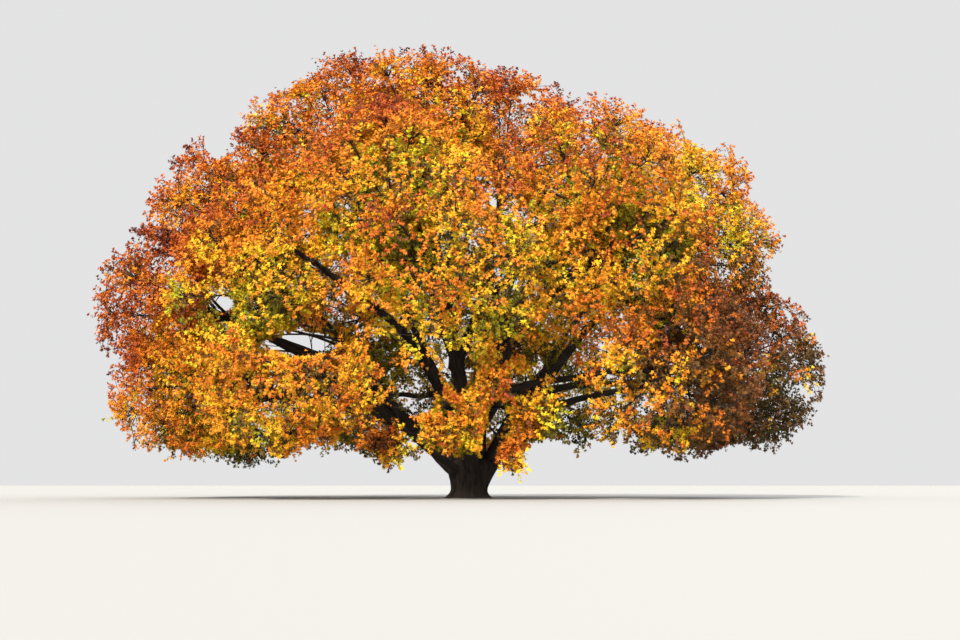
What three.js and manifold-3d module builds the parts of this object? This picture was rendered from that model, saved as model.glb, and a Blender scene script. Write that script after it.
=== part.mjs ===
// An open-grown maple in autumn leaf: a short trunk that forks low, a fan of boughs and a broad domed crown.
// +Z up. The origin is the centre of the flat cut at ground level, and the crown is widest along X.
// Lengths are in millimetres and angles in degrees. A size whose name or comment says share has no unit.
import * as THREE from "three";
import { mergeVertices } from "three/addons/utils/BufferGeometryUtils.js";
import Module from "manifold-3d";

const wasm = await Module();
wasm.setup();

// Trunk: its waist just over the roots, the flare into them, and the wide fork that the boughs leave.
const WAIST_RADIUS = 590;
const WAIST_HEIGHT = 200;
const FLARE = 250;
const FLARE_HEIGHT = 170;
const BUTTRESSES = 5;
const BUTTRESS_SHARE = 0.25;
const BUTTRESS_TURN = 34;
const FORK_HEIGHT = 1060;
const FORK_HALF_WIDTH = 930;
const FORK_HALF_DEPTH = 850;
const FORK_LEAN = 140;
// The fork has a rounded top, whose edge is drawn in to this share of the section below it.
const FORK_SHOULDER = { rise: 130, share: 0.72 };
const FORK_CROWN = 300;
const WIDEN_POWER = 1.2;
const TRUNK_SIDES = 16;
const TRUNK_RINGS = 7;
const RING_CROWDING = 1.3;

// Crown: tiers of round lobes, each tier an oval ring. Height and reach run from its left to its right.
const DEPTH_SHARE = 0.93;
const TIERS = [
  { name: "shoulder", count: 9, turn: 192, height: [6450, 8400], reach: [13100, 11000], radius: 3700 },
  { name: "cap", count: 4, turn: 184, height: [12250, 11750], reach: [8200, 4700], radius: 3550 },
  { name: "dome", count: 7, turn: 203, height: [9050, 9750], reach: [11600, 10500], radius: 3550 },
  { name: "skirt", count: 9, turn: -5, height: [3900, 4400], reach: [12500, 12400], radius: 3450 },
];
// The skirt's foremost lobe is a small apron that hangs before the fork.
const APRON = { index: 7, x: 200, y: -6300, z: 3050, radius: 2200 };
// The underside is level from front to back and rises from the crown's left to its right.
const UNDERSIDE = { left: 1150, right: 1650, halfSpan: 12000 };
const HEART = new THREE.Vector3(0, 0, 5000);

// Boughs: their radius at the start and the end and, as shares, how far along a larger bough they leave it,
// how steeply they start, how far they level out again, and how thick one is that an equal carries.
const BOUGHS = {
  shoulder: { radius: [340, 110], fork: 0.2, steep: 0.3, level: 0.3, side: 0.6 },
  cap: { radius: [350, 110], steep: 0.45, level: 0 },
  dome: { radius: [200, 90], fork: 0.4, level: 0.3 },
  skirt: { radius: [180, 85], fork: 0.2, level: 0.4 },
};
// One thin bough of the skirt leaves the trunk itself, low on the left.
const LOW_BOUGH = { index: 6, radius: [160, 80], steep: 0 };
const LEAD_SHARE = 0.5;
const SEAT_DEPTH = 200;
const SEAT_SHARE = 0.6;
const LEADER_SEAT_SHARE = 0.22;
const ENTRY_SHARE = 0.55;
const TAPER_POWER = 1.6;
const GAP = 0.3;
const LARGE_TUBE = { sides: 7, steps: 5 };
const SMALL_TUBE = { sides: 5, steps: 4 };

// Foliage: a stem, twigs that fan out from it, and round each twig's end a leaf at its tip and opposite
// pairs, each pair square to the one before. They are far larger than life: each stands for a spray.
const TWIGS = 7;
const TWIG_SPREAD = 104;
const TWIG_RADIUS = 95;
const TWIG_SWELL_SHARE = 0.15;
const TWIG_OVERRUN = 700;
const FIRST_TWIG_SHARE = 0.45;
const TWIG_OFFSET_SHARE = 0.35;
const STEM_TIP_RADIUS = 85;
const LEAF_LENGTH = 2700;
const LEAF_THICKNESS_SHARE = 0.024;
const TIP_ROOT_SHARE = 0.985;
const TIP_SINK_SHARE = 0.4;
// Where each pair sits, as a share of the twig without its overrun, and how it is turned round the twig.
const LEAF_PAIRS = [
  { share: 0.965, turn: 0 },
  { share: 0.9, turn: 90 },
];
// A leaf that finds no room at full size is tried shorter and closer to its twig.
const LEAF_TRIES = [
  { share: 1, lean: 66 },
  { share: 0.85, lean: 52 },
  { share: 0.68, lean: 38 },
];
const LEAST_ROOM_SHARE = 0.55;
const SPARE_ROOM_SHARE = 0.1;
const LEAST_TWIG = 450;
const EDGE_CLEARANCE = 10;
const BOUGH_CLEARANCE = 30;
const LEAF_CLEARANCE = 2;
const GOLDEN_ANGLE = 137.5;
const ROOM_STEPS = 40;

// The outline of half a leaf, root to tip, in shares of its length. The other half mirrors it.
const LEAF_HALF = [
  [0, 0],
  [0.38, 0.55],
  [0.2, 0.66],
  [0, 1],
];
const LEAF_RIDGE_SHARE = 0.5;

// Gaps that show the sky from the front: ovals in the upright plane through the trunk, seen from the eye.
const EYE = new THREE.Vector3(420, -65000, 500);
const OPENINGS = [
  { x: -6000, z: 5390, halfWidth: 1250, halfHeight: 420 },
  { x: -8650, z: 6800, halfWidth: 520, halfHeight: 280 },
  { x: 2200, z: 1500, halfWidth: 1250, halfHeight: 750 },
];

const TRUNK_COLOUR = "#3b322c";
const BOUGH_COLOUR = "#463c34";
const LEAF_COLOURS = { shoulder: "#e08a2c", cap: "#d9622a", dome: "#e2792b", skirt: "#d8942f" };
const ROUGHNESS = 0.9;

const SAME_PLACE = 0.01;
const UP = new THREE.Vector3(0, 0, 1);
const rad = THREE.MathUtils.degToRad;
const mix = THREE.MathUtils.lerp;
const clamp = THREE.MathUtils.clamp;

// A number from 0 to 1 that depends only on a seed and a count.
function scatter(seed, k) {
  const v = Math.sin(seed * 12.9898 + k * 78.233) * 43758.5453;
  return v - Math.floor(v);
}

// A closed geometry as a solid, with the vertices that share a place merged.
function solid(geometry) {
  const bare = geometry.index ? geometry.toNonIndexed() : geometry.clone();
  for (const name of Object.keys(bare.attributes)) {
    if (name !== "position") bare.deleteAttribute(name);
  }
  const merged = mergeVertices(bare, SAME_PLACE);
  const vertProperties = merged.attributes.position.array;
  const triVerts = new Uint32Array(merged.index.array);
  return new wasm.Manifold(new wasm.Mesh({ numProp: 3, vertProperties, triVerts }));
}

// The largest body of a solid, which leaves loose scraps and sealed hollows behind.
function largest(made) {
  return made.decompose().reduce((a, b) => (a.volume() > b.volume() ? a : b));
}

function geometryOf(made) {
  const mesh = made.getMesh();
  const geometry = new THREE.BufferGeometry();
  geometry.setAttribute("position", new THREE.BufferAttribute(new Float32Array(mesh.vertProperties), 3));
  geometry.setIndex(new THREE.BufferAttribute(new Uint32Array(mesh.triVerts), 1));
  const faceted = geometry.toNonIndexed();
  faceted.computeVertexNormals();
  return faceted;
}

// Half width, half depth and centre of the trunk at a height.
function trunkSection(z) {
  const up = clamp((z - WAIST_HEIGHT) / (FORK_HEIGHT - WAIST_HEIGHT), 0, 1) ** WIDEN_POWER;
  return {
    halfWidth: mix(WAIST_RADIUS, FORK_HALF_WIDTH, up),
    halfDepth: mix(WAIST_RADIUS, FORK_HALF_DEPTH, up),
    x: (FORK_LEAN * z) / FORK_HEIGHT,
  };
}

// How far the roots push the trunk's foot out at a height and an angle round it.
function flareAt(z, angle) {
  const ribs = 1 + BUTTRESS_SHARE * Math.cos(BUTTRESSES * angle + rad(BUTTRESS_TURN));
  return FLARE * Math.exp(-z / FLARE_HEIGHT) * ribs;
}

// The trunk as one reshaped cylinder: flared at its foot, widening to the fork, and domed between the
// boughs. Every face is pushed out by a margin.
function trunkSolid(margin) {
  const geometry = new THREE.CylinderGeometry(1, 1, 1, TRUNK_SIDES, TRUNK_RINGS);
  const place = geometry.attributes.position;
  for (let i = 0; i < place.count; i++) {
    const across = place.getX(i);
    const back = -place.getZ(i);
    const ring = Math.round((place.getY(i) + 0.5) * TRUNK_RINGS);
    const onTop = ring === TRUNK_RINGS;
    const onAxis = Math.hypot(across, back) < 0.5;
    const z = FORK_HEIGHT * Math.min(1, ring / (TRUNK_RINGS - 1)) ** RING_CROWDING;
    const wide = flareAt(z, Math.atan2(back, across)) + margin;
    const drawnIn = onTop ? FORK_SHOULDER.share : 1;
    let lift = ring === 0 ? -margin : 0;
    if (onTop) lift = margin + (onAxis ? FORK_CROWN : FORK_SHOULDER.rise);
    const at = trunkSection(z);
    const x = at.x + across * drawnIn * (at.halfWidth + wide);
    place.setXYZ(i, x, back * drawnIn * (at.halfDepth + wide), z + lift);
  }
  return solid(geometry);
}

// A round tapering tube along a curve, with every side pushed out by a margin.
function tubeSolid(curve, radius, form, margin = 0) {
  const frames = curve.computeFrenetFrames(form.steps, false);
  const geometry = new THREE.CylinderGeometry(1, 1, 1, form.sides, form.steps);
  const place = geometry.attributes.position;
  for (let i = 0; i < place.count; i++) {
    const step = Math.round((place.getY(i) + 0.5) * form.steps);
    const share = step / form.steps;
    const thick = mix(radius[1], radius[0], (1 - share) ** TAPER_POWER) + margin;
    const point = curve.getPointAt(share);
    point.addScaledVector(frames.normals[step], thick * place.getX(i));
    point.addScaledVector(frames.binormals[step], -thick * place.getZ(i));
    place.setXYZ(i, point.x, point.y, point.z);
  }
  return solid(geometry);
}

// A straight square twig: it swells a little way out from its root and tapers from there to a point.
function twigSolid(from, to) {
  const axis = to.clone().sub(from);
  const length = axis.length();
  const geometry = new THREE.OctahedronGeometry(1);
  const place = geometry.attributes.position;
  for (let i = 0; i < place.count; i++) {
    const end = Math.round(place.getY(i));
    const share = [0, TWIG_SWELL_SHARE, 1][end + 1];
    place.setXYZ(i, place.getX(i) * TWIG_RADIUS, share * length, place.getZ(i) * TWIG_RADIUS);
  }
  geometry.applyQuaternion(turnTo(axis.normalize())).translate(from.x, from.y, from.z);
  return solid(geometry);
}

// The turn that takes a twig from upright in its own geometry to its real direction.
function turnTo(axis) {
  return new THREE.Quaternion().setFromUnitVectors(new THREE.Vector3(0, 1, 0), axis);
}

// Every lobe of the crown: its centre, radius and the way it faces.
function crownLobes() {
  const lobes = [];
  for (const tier of TIERS) {
    const half = (tier.reach[0] + tier.reach[1]) / 2;
    const middle = (tier.reach[1] - tier.reach[0]) / 2;
    for (let k = 0; k < tier.count; k++) {
      const angle = rad(tier.turn + (360 * k) / tier.count);
      const left = (1 - Math.cos(angle)) / 2;
      const centre = new THREE.Vector3(
        middle + (half - tier.radius) * Math.cos(angle),
        (half * DEPTH_SHARE - tier.radius) * Math.sin(angle),
        mix(tier.height[1], tier.height[0], left),
      );
      lobes.push({ tier: tier.name, index: k, angle, centre, radius: tier.radius });
    }
  }
  const apron = lobes.find((lobe) => lobe.tier === "skirt" && lobe.index === APRON.index);
  apron.centre.set(APRON.x, APRON.y, APRON.z);
  apron.radius = APRON.radius;
  return lobes.map((lobe, seed) => ({ ...lobe, seed, name: `${lobe.tier}_${lobe.index + 1}` }));
}

const lobes = crownLobes();

function lobesOf(tier) {
  return lobes.filter((lobe) => lobe.tier === tier);
}

// The lobe of a tier that faces most nearly the same way round the trunk, and the first of two equals.
function nearestOf(tier, lobe) {
  const turned = (other) => Math.cos(other.angle - lobe.angle);
  return lobesOf(tier).reduce((best, other) => (turned(other) > turned(best) + 1e-6 ? other : best));
}

// The lobe whose bough carries this one's, or null where the trunk does.
function carrierOf(lobe) {
  if (lobe.tier === "cap") return null;
  if (lobe.tier === "dome") return nearestOf("cap", lobe);
  if (lobe.tier === "skirt") return lobe.index === LOW_BOUGH.index ? null : nearestOf("shoulder", lobe);
  return lobe.index % 2 === 0 ? null : lobesOf("shoulder")[lobe.index - 1];
}

function outward(lobe) {
  return new THREE.Vector3(Math.cos(lobe.angle), Math.sin(lobe.angle), 0);
}

// Where a bough that the trunk carries starts, sunk below the fork.
function seatOf(lobe) {
  const z = FORK_HEIGHT - SEAT_DEPTH;
  const at = trunkSection(z);
  const share = lobe.tier === "cap" ? LEADER_SEAT_SHARE : SEAT_SHARE;
  return new THREE.Vector3(
    at.x + share * at.halfWidth * Math.cos(lobe.angle),
    share * at.halfDepth * Math.sin(lobe.angle),
    z,
  );
}

// A bough's course: it starts steeply or along its carrier, bends over, and points at its lobe's centre.
function boughCurve(lobe, carrier) {
  const low = lobe.tier === "skirt" && !carrier;
  const form = low ? { ...BOUGHS.skirt, ...LOW_BOUGH } : BOUGHS[lobe.tier];
  const start = carrier ? carrier.curve.getPointAt(form.fork) : seatOf(lobe);
  const chord = lobe.centre.clone().sub(start).normalize();
  const lead = carrier ? carrier.curve.getTangentAt(form.fork) : UP;
  const first = chord.clone().lerp(lead, carrier ? LEAD_SHARE : form.steep).normalize();
  const last = chord.clone().lerp(outward(lobe), form.level).normalize();
  const end = lobe.centre.clone().addScaledVector(last, -ENTRY_SHARE * lobe.radius);
  const third = start.distanceTo(end) / 3;
  const curve = new THREE.CubicBezierCurve3(
    start,
    start.clone().addScaledVector(first, third),
    end.clone().addScaledVector(last, -third),
    end,
  );
  const share = carrier && form.side ? form.side : 1;
  const tube = carrier || low ? SMALL_TUBE : LARGE_TUBE;
  return { lobe, curve, end, last, radius: form.radius.map((r) => r * share), tube };
}

// All boughs, carriers first, each one cut clear of the trunk and of the boughs made before it.
function makeBoughs() {
  const made = new Map();
  const order = [...lobes].sort((a, b) => (carrierOf(a) ? 1 : 0) - (carrierOf(b) ? 1 : 0));
  let taken = trunkSolid(GAP);
  for (const lobe of order) {
    const carrier = carrierOf(lobe);
    const bough = boughCurve(lobe, carrier && made.get(carrier));
    bough.solid = largest(tubeSolid(bough.curve, bough.radius, bough.tube).subtract(taken));
    taken = taken.add(tubeSolid(bough.curve, bough.radius, bough.tube, GAP));
    made.set(lobe, bough);
  }
  return made;
}

// How far a point lies inside the flat border between a lobe and another one.
function borderDepth(point, lobe, other) {
  const mine = point.distanceToSquared(lobe.centre) - lobe.radius ** 2;
  const theirs = point.distanceToSquared(other.centre) - other.radius ** 2;
  return (theirs - mine) / (2 * lobe.centre.distanceTo(other.centre));
}

function inOpening(point, opening) {
  const away = EYE.y / (EYE.y - point.y);
  const x = EYE.x + (point.x - EYE.x) * away;
  const z = EYE.z + (point.z - EYE.z) * away;
  return Math.hypot((x - opening.x) / opening.halfWidth, (z - opening.z) / opening.halfHeight) < 1;
}

// Whether a point belongs to a lobe's own space: in its ball, on its side of every border, over the
// crown's underside and out of the openings.
function inSpace(point, lobe) {
  if (point.distanceTo(lobe.centre) > lobe.radius) return false;
  const right = clamp((point.x / UNDERSIDE.halfSpan + 1) / 2, 0, 1);
  if (point.z < mix(UNDERSIDE.left, UNDERSIDE.right, right)) return false;
  if (lobes.some((other) => other !== lobe && borderDepth(point, lobe, other) < EDGE_CLEARANCE)) return false;
  return !OPENINGS.some((opening) => inOpening(point, opening));
}

// How far one can go from the lobe's centre along a direction and stay in its space.
function roomAlong(lobe, direction) {
  const step = lobe.radius / ROOM_STEPS;
  let room = 0;
  while (inSpace(lobe.centre.clone().addScaledVector(direction, room + step), lobe)) room += step;
  return room;
}

// A leaf's corners: its outline from the root round by the right, then the ridge that thickens it.
function leafCorners(root, along, face, length) {
  const side = new THREE.Vector3().crossVectors(along, face);
  const put = (x, y, z) =>
    root
      .clone()
      .addScaledVector(side, x * length)
      .addScaledVector(along, y * length)
      .addScaledVector(face, z * length);
  const right = LEAF_HALF.map(([x, y]) => put(x, y, 0));
  const left = LEAF_HALF.slice(1, -1).reverse().map(([x, y]) => put(-x, y, 0));
  return [...right, ...left, put(0, LEAF_RIDGE_SHARE, LEAF_THICKNESS_SHARE)];
}

// A leaf as a closed solid of ten faces: four flat ones below, six that slope up to the ridge.
function leafSolid(corners) {
  const faces = [[0, 5, 1], [1, 5, 2], [2, 5, 4], [2, 4, 3]];
  const ridge = corners.length - 1;
  for (let k = 0; k < ridge; k++) faces.push([k, (k + 1) % ridge, ridge]);
  const points = faces.flat().flatMap((k) => corners[k].toArray());
  const geometry = new THREE.BufferGeometry();
  geometry.setAttribute("position", new THREE.Float32BufferAttribute(points, 3));
  return solid(geometry);
}

// A leaf from its root along one direction and facing another, or null where it would leave the lobe's
// space, or touch a limb, a twig or another leaf.
function leafOn(lobe, root, along, face, length, limbs, others) {
  const corners = leafCorners(root, along, face, length);
  const checked = corners.slice(1).concat(corners[1].clone().lerp(corners[3], 0.5));
  if (!checked.every((corner) => inSpace(corner, lobe))) return null;
  const leaf = leafSolid(corners);
  if (leaf.minGap(limbs, BOUGH_CLEARANCE) < BOUGH_CLEARANCE) return null;
  return others.every((other) => leaf.minGap(other, LEAF_CLEARANCE) >= LEAF_CLEARANCE) ? leaf : null;
}

// The way a lobe's k-th twig points: spread over the side that faces out of the crown.
function twigDirection(lobe, k) {
  const facing = lobe.centre.clone().sub(HEART).normalize();
  const height = mix(1, Math.cos(rad(TWIG_SPREAD)), (k + TWIG_OFFSET_SHARE) / TWIGS);
  const turn = rad(GOLDEN_ANGLE * k + 360 * scatter(lobe.seed, 1));
  const level = new THREE.Vector3().crossVectors(facing, UP).normalize().applyAxisAngle(facing, turn);
  return facing.multiplyScalar(height).addScaledVector(level, Math.sqrt(1 - height * height));
}

// A twig's length, which lets leaves of full size just reach the end of the room.
function twigLength(room, share) {
  const lean = rad(LEAF_TRIES[0].lean);
  const spread = Math.sin(lean) * LEAF_LENGTH * share;
  const rise = Math.cos(lean) * LEAF_LENGTH * share;
  return Math.max(LEAST_TWIG, Math.sqrt(Math.max(0, room ** 2 - spread ** 2)) - rise);
}

// The leaf that ends a twig. Its root lies just off the twig's middle, so that no face of it meets an edge.
function tipLeaf(lobe, curve, axis, side, length, limbs, others) {
  const root = curve.getPoint(TIP_ROOT_SHARE);
  root.addScaledVector(side, -TIP_SINK_SHARE * LEAF_THICKNESS_SHARE * length);
  return leafOn(lobe, root, axis, side, length, limbs, others);
}

// A leaf that leans off its twig towards one side, at the first size and lean that has room.
function sideLeaf(lobe, root, axis, side, limbs, others) {
  for (const { share, lean } of LEAF_TRIES) {
    const along = axis.clone().multiplyScalar(Math.cos(rad(lean))).addScaledVector(side, Math.sin(rad(lean)));
    const face = axis.clone().addScaledVector(along, -axis.dot(along)).normalize();
    const leaf = leafOn(lobe, root, along, face, LEAF_LENGTH * share, limbs, others);
    if (leaf) return leaf;
  }
  return null;
}

// The leaves of one twig, which sit on its flat sides.
function leavesOf(lobe, curve, axis, tipLength, limbs, others) {
  const side = new THREE.Vector3(1, 0, 1).normalize().applyQuaternion(turnTo(axis));
  const found = [];
  const keep = (leaf) => leaf && found.push(leaf);
  keep(tipLeaf(lobe, curve, axis, side, tipLength, limbs, others));
  for (const pair of LEAF_PAIRS) {
    for (const turn of [pair.turn, pair.turn + 180]) {
      const round = side.clone().applyAxisAngle(axis, rad(turn));
      keep(sideLeaf(lobe, curve.getPoint(pair.share), axis, round, limbs, [...others, ...found]));
    }
  }
  return found;
}

// One twig with its leaves, or nothing where the lobe has no room that way.
function twigSolids(lobe, stemAt, k, limbs, others) {
  const direction = twigDirection(lobe, k);
  const room = roomAlong(lobe, direction);
  if (room < LEAST_ROOM_SHARE * lobe.radius) return [];
  const share = Math.min(1, room / lobe.radius + SPARE_ROOM_SHARE);
  const from = stemAt(mix(FIRST_TWIG_SHARE, 1, k / (TWIGS - 1)));
  const tip = lobe.centre.clone().addScaledVector(direction, twigLength(room, share));
  const axis = tip.clone().sub(from).normalize();
  const twig = twigSolid(from, tip.clone().addScaledVector(axis, TWIG_OVERRUN * share));
  if (twig.minGap(limbs, BOUGH_CLEARANCE) < BOUGH_CLEARANCE) return [];
  const tipLength = room - tip.distanceTo(lobe.centre);
  const leaves = leavesOf(lobe, new THREE.LineCurve3(from, tip), axis, tipLength, limbs, others);
  return leaves.length ? [twig, ...leaves] : [];
}

// One mass of foliage: a stem that carries on from its bough's tip, then twigs and leaves fused to it.
function massSolid(bough, limbs) {
  const { lobe, last, end } = bough;
  const start = end.clone().addScaledVector(last, GAP);
  const course = new THREE.LineCurve3(start, lobe.centre.clone());
  const stem = tubeSolid(course, [bough.radius[1], STEM_TIP_RADIUS], { sides: bough.tube.sides, steps: 1 });
  const grown = [];
  for (let k = 0; k < TWIGS; k++) {
    grown.push(...twigSolids(lobe, (share) => course.getPoint(share), k, limbs, grown));
  }
  return largest(wasm.Manifold.union([stem, ...grown]));
}

function named(name, made, color) {
  const material = new THREE.MeshStandardMaterial({ color, roughness: ROUGHNESS, metalness: 0 });
  const mesh = new THREE.Mesh(geometryOf(made), material);
  mesh.name = name;
  return mesh;
}

function buildTree() {
  const tree = new THREE.Group();
  const trunk = trunkSolid(0);
  const boughs = [...makeBoughs().values()];
  const limbs = wasm.Manifold.union([trunk, ...boughs.map((bough) => bough.solid)]);
  tree.add(named("trunk", trunk, TRUNK_COLOUR));
  for (const bough of boughs) tree.add(named(`bough_${bough.lobe.name}`, bough.solid, BOUGH_COLOUR));
  for (const bough of boughs) {
    tree.add(named(`foliage_${bough.lobe.name}`, massSolid(bough, limbs), LEAF_COLOURS[bough.lobe.tier]));
  }
  return tree;
}

export default buildTree();
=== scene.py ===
"""A broad open-grown maple in autumn leaf: its trunk and boughs, and its crown's branches and leaves."""

import math

import bpy
import numpy as np
from bpy.props import (
    CollectionProperty, FloatProperty, FloatVectorProperty, IntProperty, PointerProperty, StringProperty,
)
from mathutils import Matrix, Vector


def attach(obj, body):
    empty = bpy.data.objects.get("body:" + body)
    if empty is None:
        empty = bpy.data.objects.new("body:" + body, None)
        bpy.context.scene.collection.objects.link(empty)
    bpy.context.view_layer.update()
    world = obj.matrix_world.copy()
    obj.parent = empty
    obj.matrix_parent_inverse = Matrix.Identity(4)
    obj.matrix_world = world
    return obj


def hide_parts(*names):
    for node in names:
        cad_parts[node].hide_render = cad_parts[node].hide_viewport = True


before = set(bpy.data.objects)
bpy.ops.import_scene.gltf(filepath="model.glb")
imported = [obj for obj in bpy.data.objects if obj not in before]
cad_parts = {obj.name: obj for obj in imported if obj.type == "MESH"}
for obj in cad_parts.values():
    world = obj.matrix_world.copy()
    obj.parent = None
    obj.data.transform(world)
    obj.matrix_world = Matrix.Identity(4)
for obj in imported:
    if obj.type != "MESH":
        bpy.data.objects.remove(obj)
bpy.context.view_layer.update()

bl_info = {
    "name": "Autumn Maple",
    "version": (1, 0, 0),
    "blender": (4, 5, 0),
    "location": "View3D > Sidebar > Maple",
    "description": "Grows a broad maple in autumn leaf from its trunk, boughs and crown lobes",
    "category": "Add Mesh",
}

TAU = 2 * math.pi
UP = np.array([0.0, 0.0, 1.0])
GOLDEN_ANGLE = math.radians(137.5)
# Large odd numbers that scatter the corners of space.
AXIS_MIX, FIRST_MIX, SECOND_MIX = (73856093, 19349663, 83492791), 2654435761, 2246822519
# What sets each pattern of noise apart from the others.
APART = {
    "sway": 17.3, "gaps": 77.7, "limbs": 88.1, "thin": 61.3,
    "shade": 43.0, "trunk": 8.0, "boughs": 21.0,
}
FIRST_SEED = 41

# The limbs and the crown's lobes, as the solids have them, in metres and degrees.
WAIST_RADIUS, WAIST_HEIGHT = 0.59, 0.2
FLARE, FLARE_HEIGHT = 0.25, 0.17
BUTTRESSES, BUTTRESS_SHARE, BUTTRESS_TURN = 5, 0.25, 34
FORK_HEIGHT, FORK_HALF_WIDTH, FORK_HALF_DEPTH, FORK_LEAN = 1.06, 0.93, 0.85, 0.14
FORK_CROWN, WIDEN_POWER = 0.3, 1.2
# The trunk's domed top: its height as a share of the fork's crown, and how it is rounded and drawn in.
DOME_SHARE, DOME_POWER, DOME_DRAWN_IN, DOME_DRAWN_POWER = 1.15, 1.3, 0.95, 2.2
# Bark: the radius its pattern turns at, how coarse it is and, on the trunk, what sets it apart.
TRUNK_BARK, BOUGH_BARK, BOUGH_APART = (0.7, 5.2, 3.0), (0.32, 6.5), 3.7
BARK_GRAIN = {"trunk": 7.0, "bough": 9.0}
# Broad lumps under the bark: their grain across and along, and their height in metres or radii.
TRUNK_LUMPS, TRUNK_LUMP_HEIGHT = np.array([2.1, 2.1, 0.8]), 0.05
BOUGH_LUMPS, BOUGH_RELIEF = np.array([2.2, 2.2, 1.2]), 0.14
BUTTRESS_CHANCE = 0.35
# A bough's collar in foot radii, its start in the trunk and how soon it is whole, and its stem's tip.
COLLAR_LENGTH, SEATED_SHARE, SEATED_LENGTH, SEATED_POWER, STEM_TIP_SHARE = 1.3, 0.45, 0.75, 0.7, 0.42
DEPTH_SHARE = 0.93
# Each tier of lobes: how many, the first one's angle, height and reach at the crown's left and right, and
# radius.
TIERS = (
    ("shoulder", 9, 192, (6.45, 8.4), (13.1, 11.0), 3.7),
    ("cap", 4, 184, (12.25, 11.75), (8.2, 4.7), 3.55),
    ("dome", 7, 203, (9.05, 9.75), (11.6, 10.5), 3.55),
    ("skirt", 9, -5, (3.9, 4.4), (12.5, 12.4), 3.45),
)
# The lobe that is a small apron before the fork: its tier and place in it, and what it has of its own.
APRON_LOBE = ("skirt", 7)
APRON = {"centre": np.array([0.2, -6.3, 3.05]), "radius": 2.2}
UNDERSIDE_LEFT, UNDERSIDE_RIGHT, UNDERSIDE_HALF_SPAN = 1.15, 1.65, 12.0
# The tufts that make the underside ragged: their height, grain, what sets the pattern apart, and its middle.
UNDERSIDE_TUFTS = ((0.9, 0.75, 31.7, 0.3), (0.7, 1.7, 57.1, 0.5))
HEART = np.array([0.0, 0.0, 5.0])
BOUGHS = {
    "shoulder": {"radius": (0.34, 0.11), "fork": 0.2, "steep": 0.3, "level": 0.3, "side": 0.6},
    "cap": {"radius": (0.35, 0.11), "steep": 0.45, "level": 0.0},
    "dome": {"radius": (0.2, 0.09), "fork": 0.4, "level": 0.3},
    "skirt": {"radius": (0.18, 0.085), "fork": 0.2, "level": 0.4},
}
# The bough of the skirt that leaves the trunk itself.
LOW_BOUGH_INDEX = 6
LOW_BOUGH = {"radius": (0.16, 0.08), "steep": 0.0}
LEAD_SHARE, SEAT_DEPTH, SEAT_SHARE, LEADER_SEAT_SHARE = 0.5, 0.2, 0.6, 0.22
ENTRY_SHARE, TAPER_POWER = 0.55, 1.6
FIRST_TWIG_SHARE, TWIG_OFFSET_SHARE = 0.45, 0.35
# Limbs are straight below the first height and sway fully from the second further up.
STRAIGHT_BELOW, SWAY_RISE = 1.1, 1.6
# Where a shoot bends, as a share of its length.
ELBOW_SHARE = 0.45
# How much of its carrier's way a branch, side branch, inner branch or low spray's branch starts with.
BRANCH_PULL, SIDE_PULL, INNER_PULL, SPRAY_PULL = 0.55, 0.8, 0.6, 0.5

# Lobes further out to a side than the first, further back than the second or nearer than the third are the
# crown's edge, back and front. Those at the front have more short branches on their boughs.
EDGE_FROM, BACK_FROM, FRONT_FROM = 7.0, 3.4, -3.0
FRONT_INNER_BRANCHES = 6
# How far sprigs and leaves may reach past their lobe's flat borders.
SPRIG_OVERHANG, LEAF_OVERHANG = 0.22, 0.3
# A branch's share of its room, and how far short of it branches and side branches stop.
BRANCH_REACH, BRANCH_SHORT, SIDE_SHORT = (0.88, 0.98), 0.2, 0.14
# Side branches: the seats on each branch, how few are short, and how much a seat beyond the place counts.
SIDE_SEATS, SIDE_DEPTH_POWER, BEYOND_WEIGHT = 14, 2.4, 1.5
SIDE_SPAN = (0.15, 0.9)
# Inner branches: where on the bough and stem, their lean in degrees, lift and share of the usual length.
INNER_SPAN, INNER_LEANS, INNER_LIFT, INNER_SHARES = (0.42, 1.3), (40, 80), 0.25, (0.7, 1.3)
SPRIG_LEAN, SPRIG_LIFT, SPRIG_SPREAD = 52, 0.12, 0.16
SPRIG_TRIES = np.array([1.0, 0.78, 0.56, 0.36])
# A leaf's lean in degrees, its sag, its share of the usual length, and how it faces up, out and by chance.
LEAF_LEANS, LEAF_SAG, LEAF_SHARES = (38, 78), 0.75, (0.74, 1.2)
FACE_UP, FACE_OUT, FACE_CHANCE = 0.75, 0.65, 0.48
# How loose the pairs' turns are, the last one's share of the lean, and the stretch of a sprig with leaves.
SPRIG_LOOSE, LEAF_LOOSE, LAST_SPRIG_LEAN, LAST_LEAF_LEAN, LEAF_SPAN = 0.5, 0.45, 0.15, 0.2, (0.22, 0.96)
# Where shoots sit on what carries them, as shares of its length.
SPRIG_SPAN, BRANCH_SPRIG_SPAN, INNER_SIDE_SPAN = (0.36, 1.0), (0.1, 0.78), (0.3, 1.0)
# An inner branch's side branches: length, lean and lift. A branch's own sprigs: share of the usual length,
# lean, and least share along for their tint. A low spray's sprigs: lift, and share along for their tint.
INNER_SIDE = (0.8, 56, 0.18)
BRANCH_SPRIG_LENGTH, BRANCH_SPRIG_LEAN, BRANCH_SPRIG_SHARE = 1.35, 62, 0.55
SPRAY_SPRIG_LIFT, SPRAY_SPRIG_SHARE = -0.1, 0.75

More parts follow.
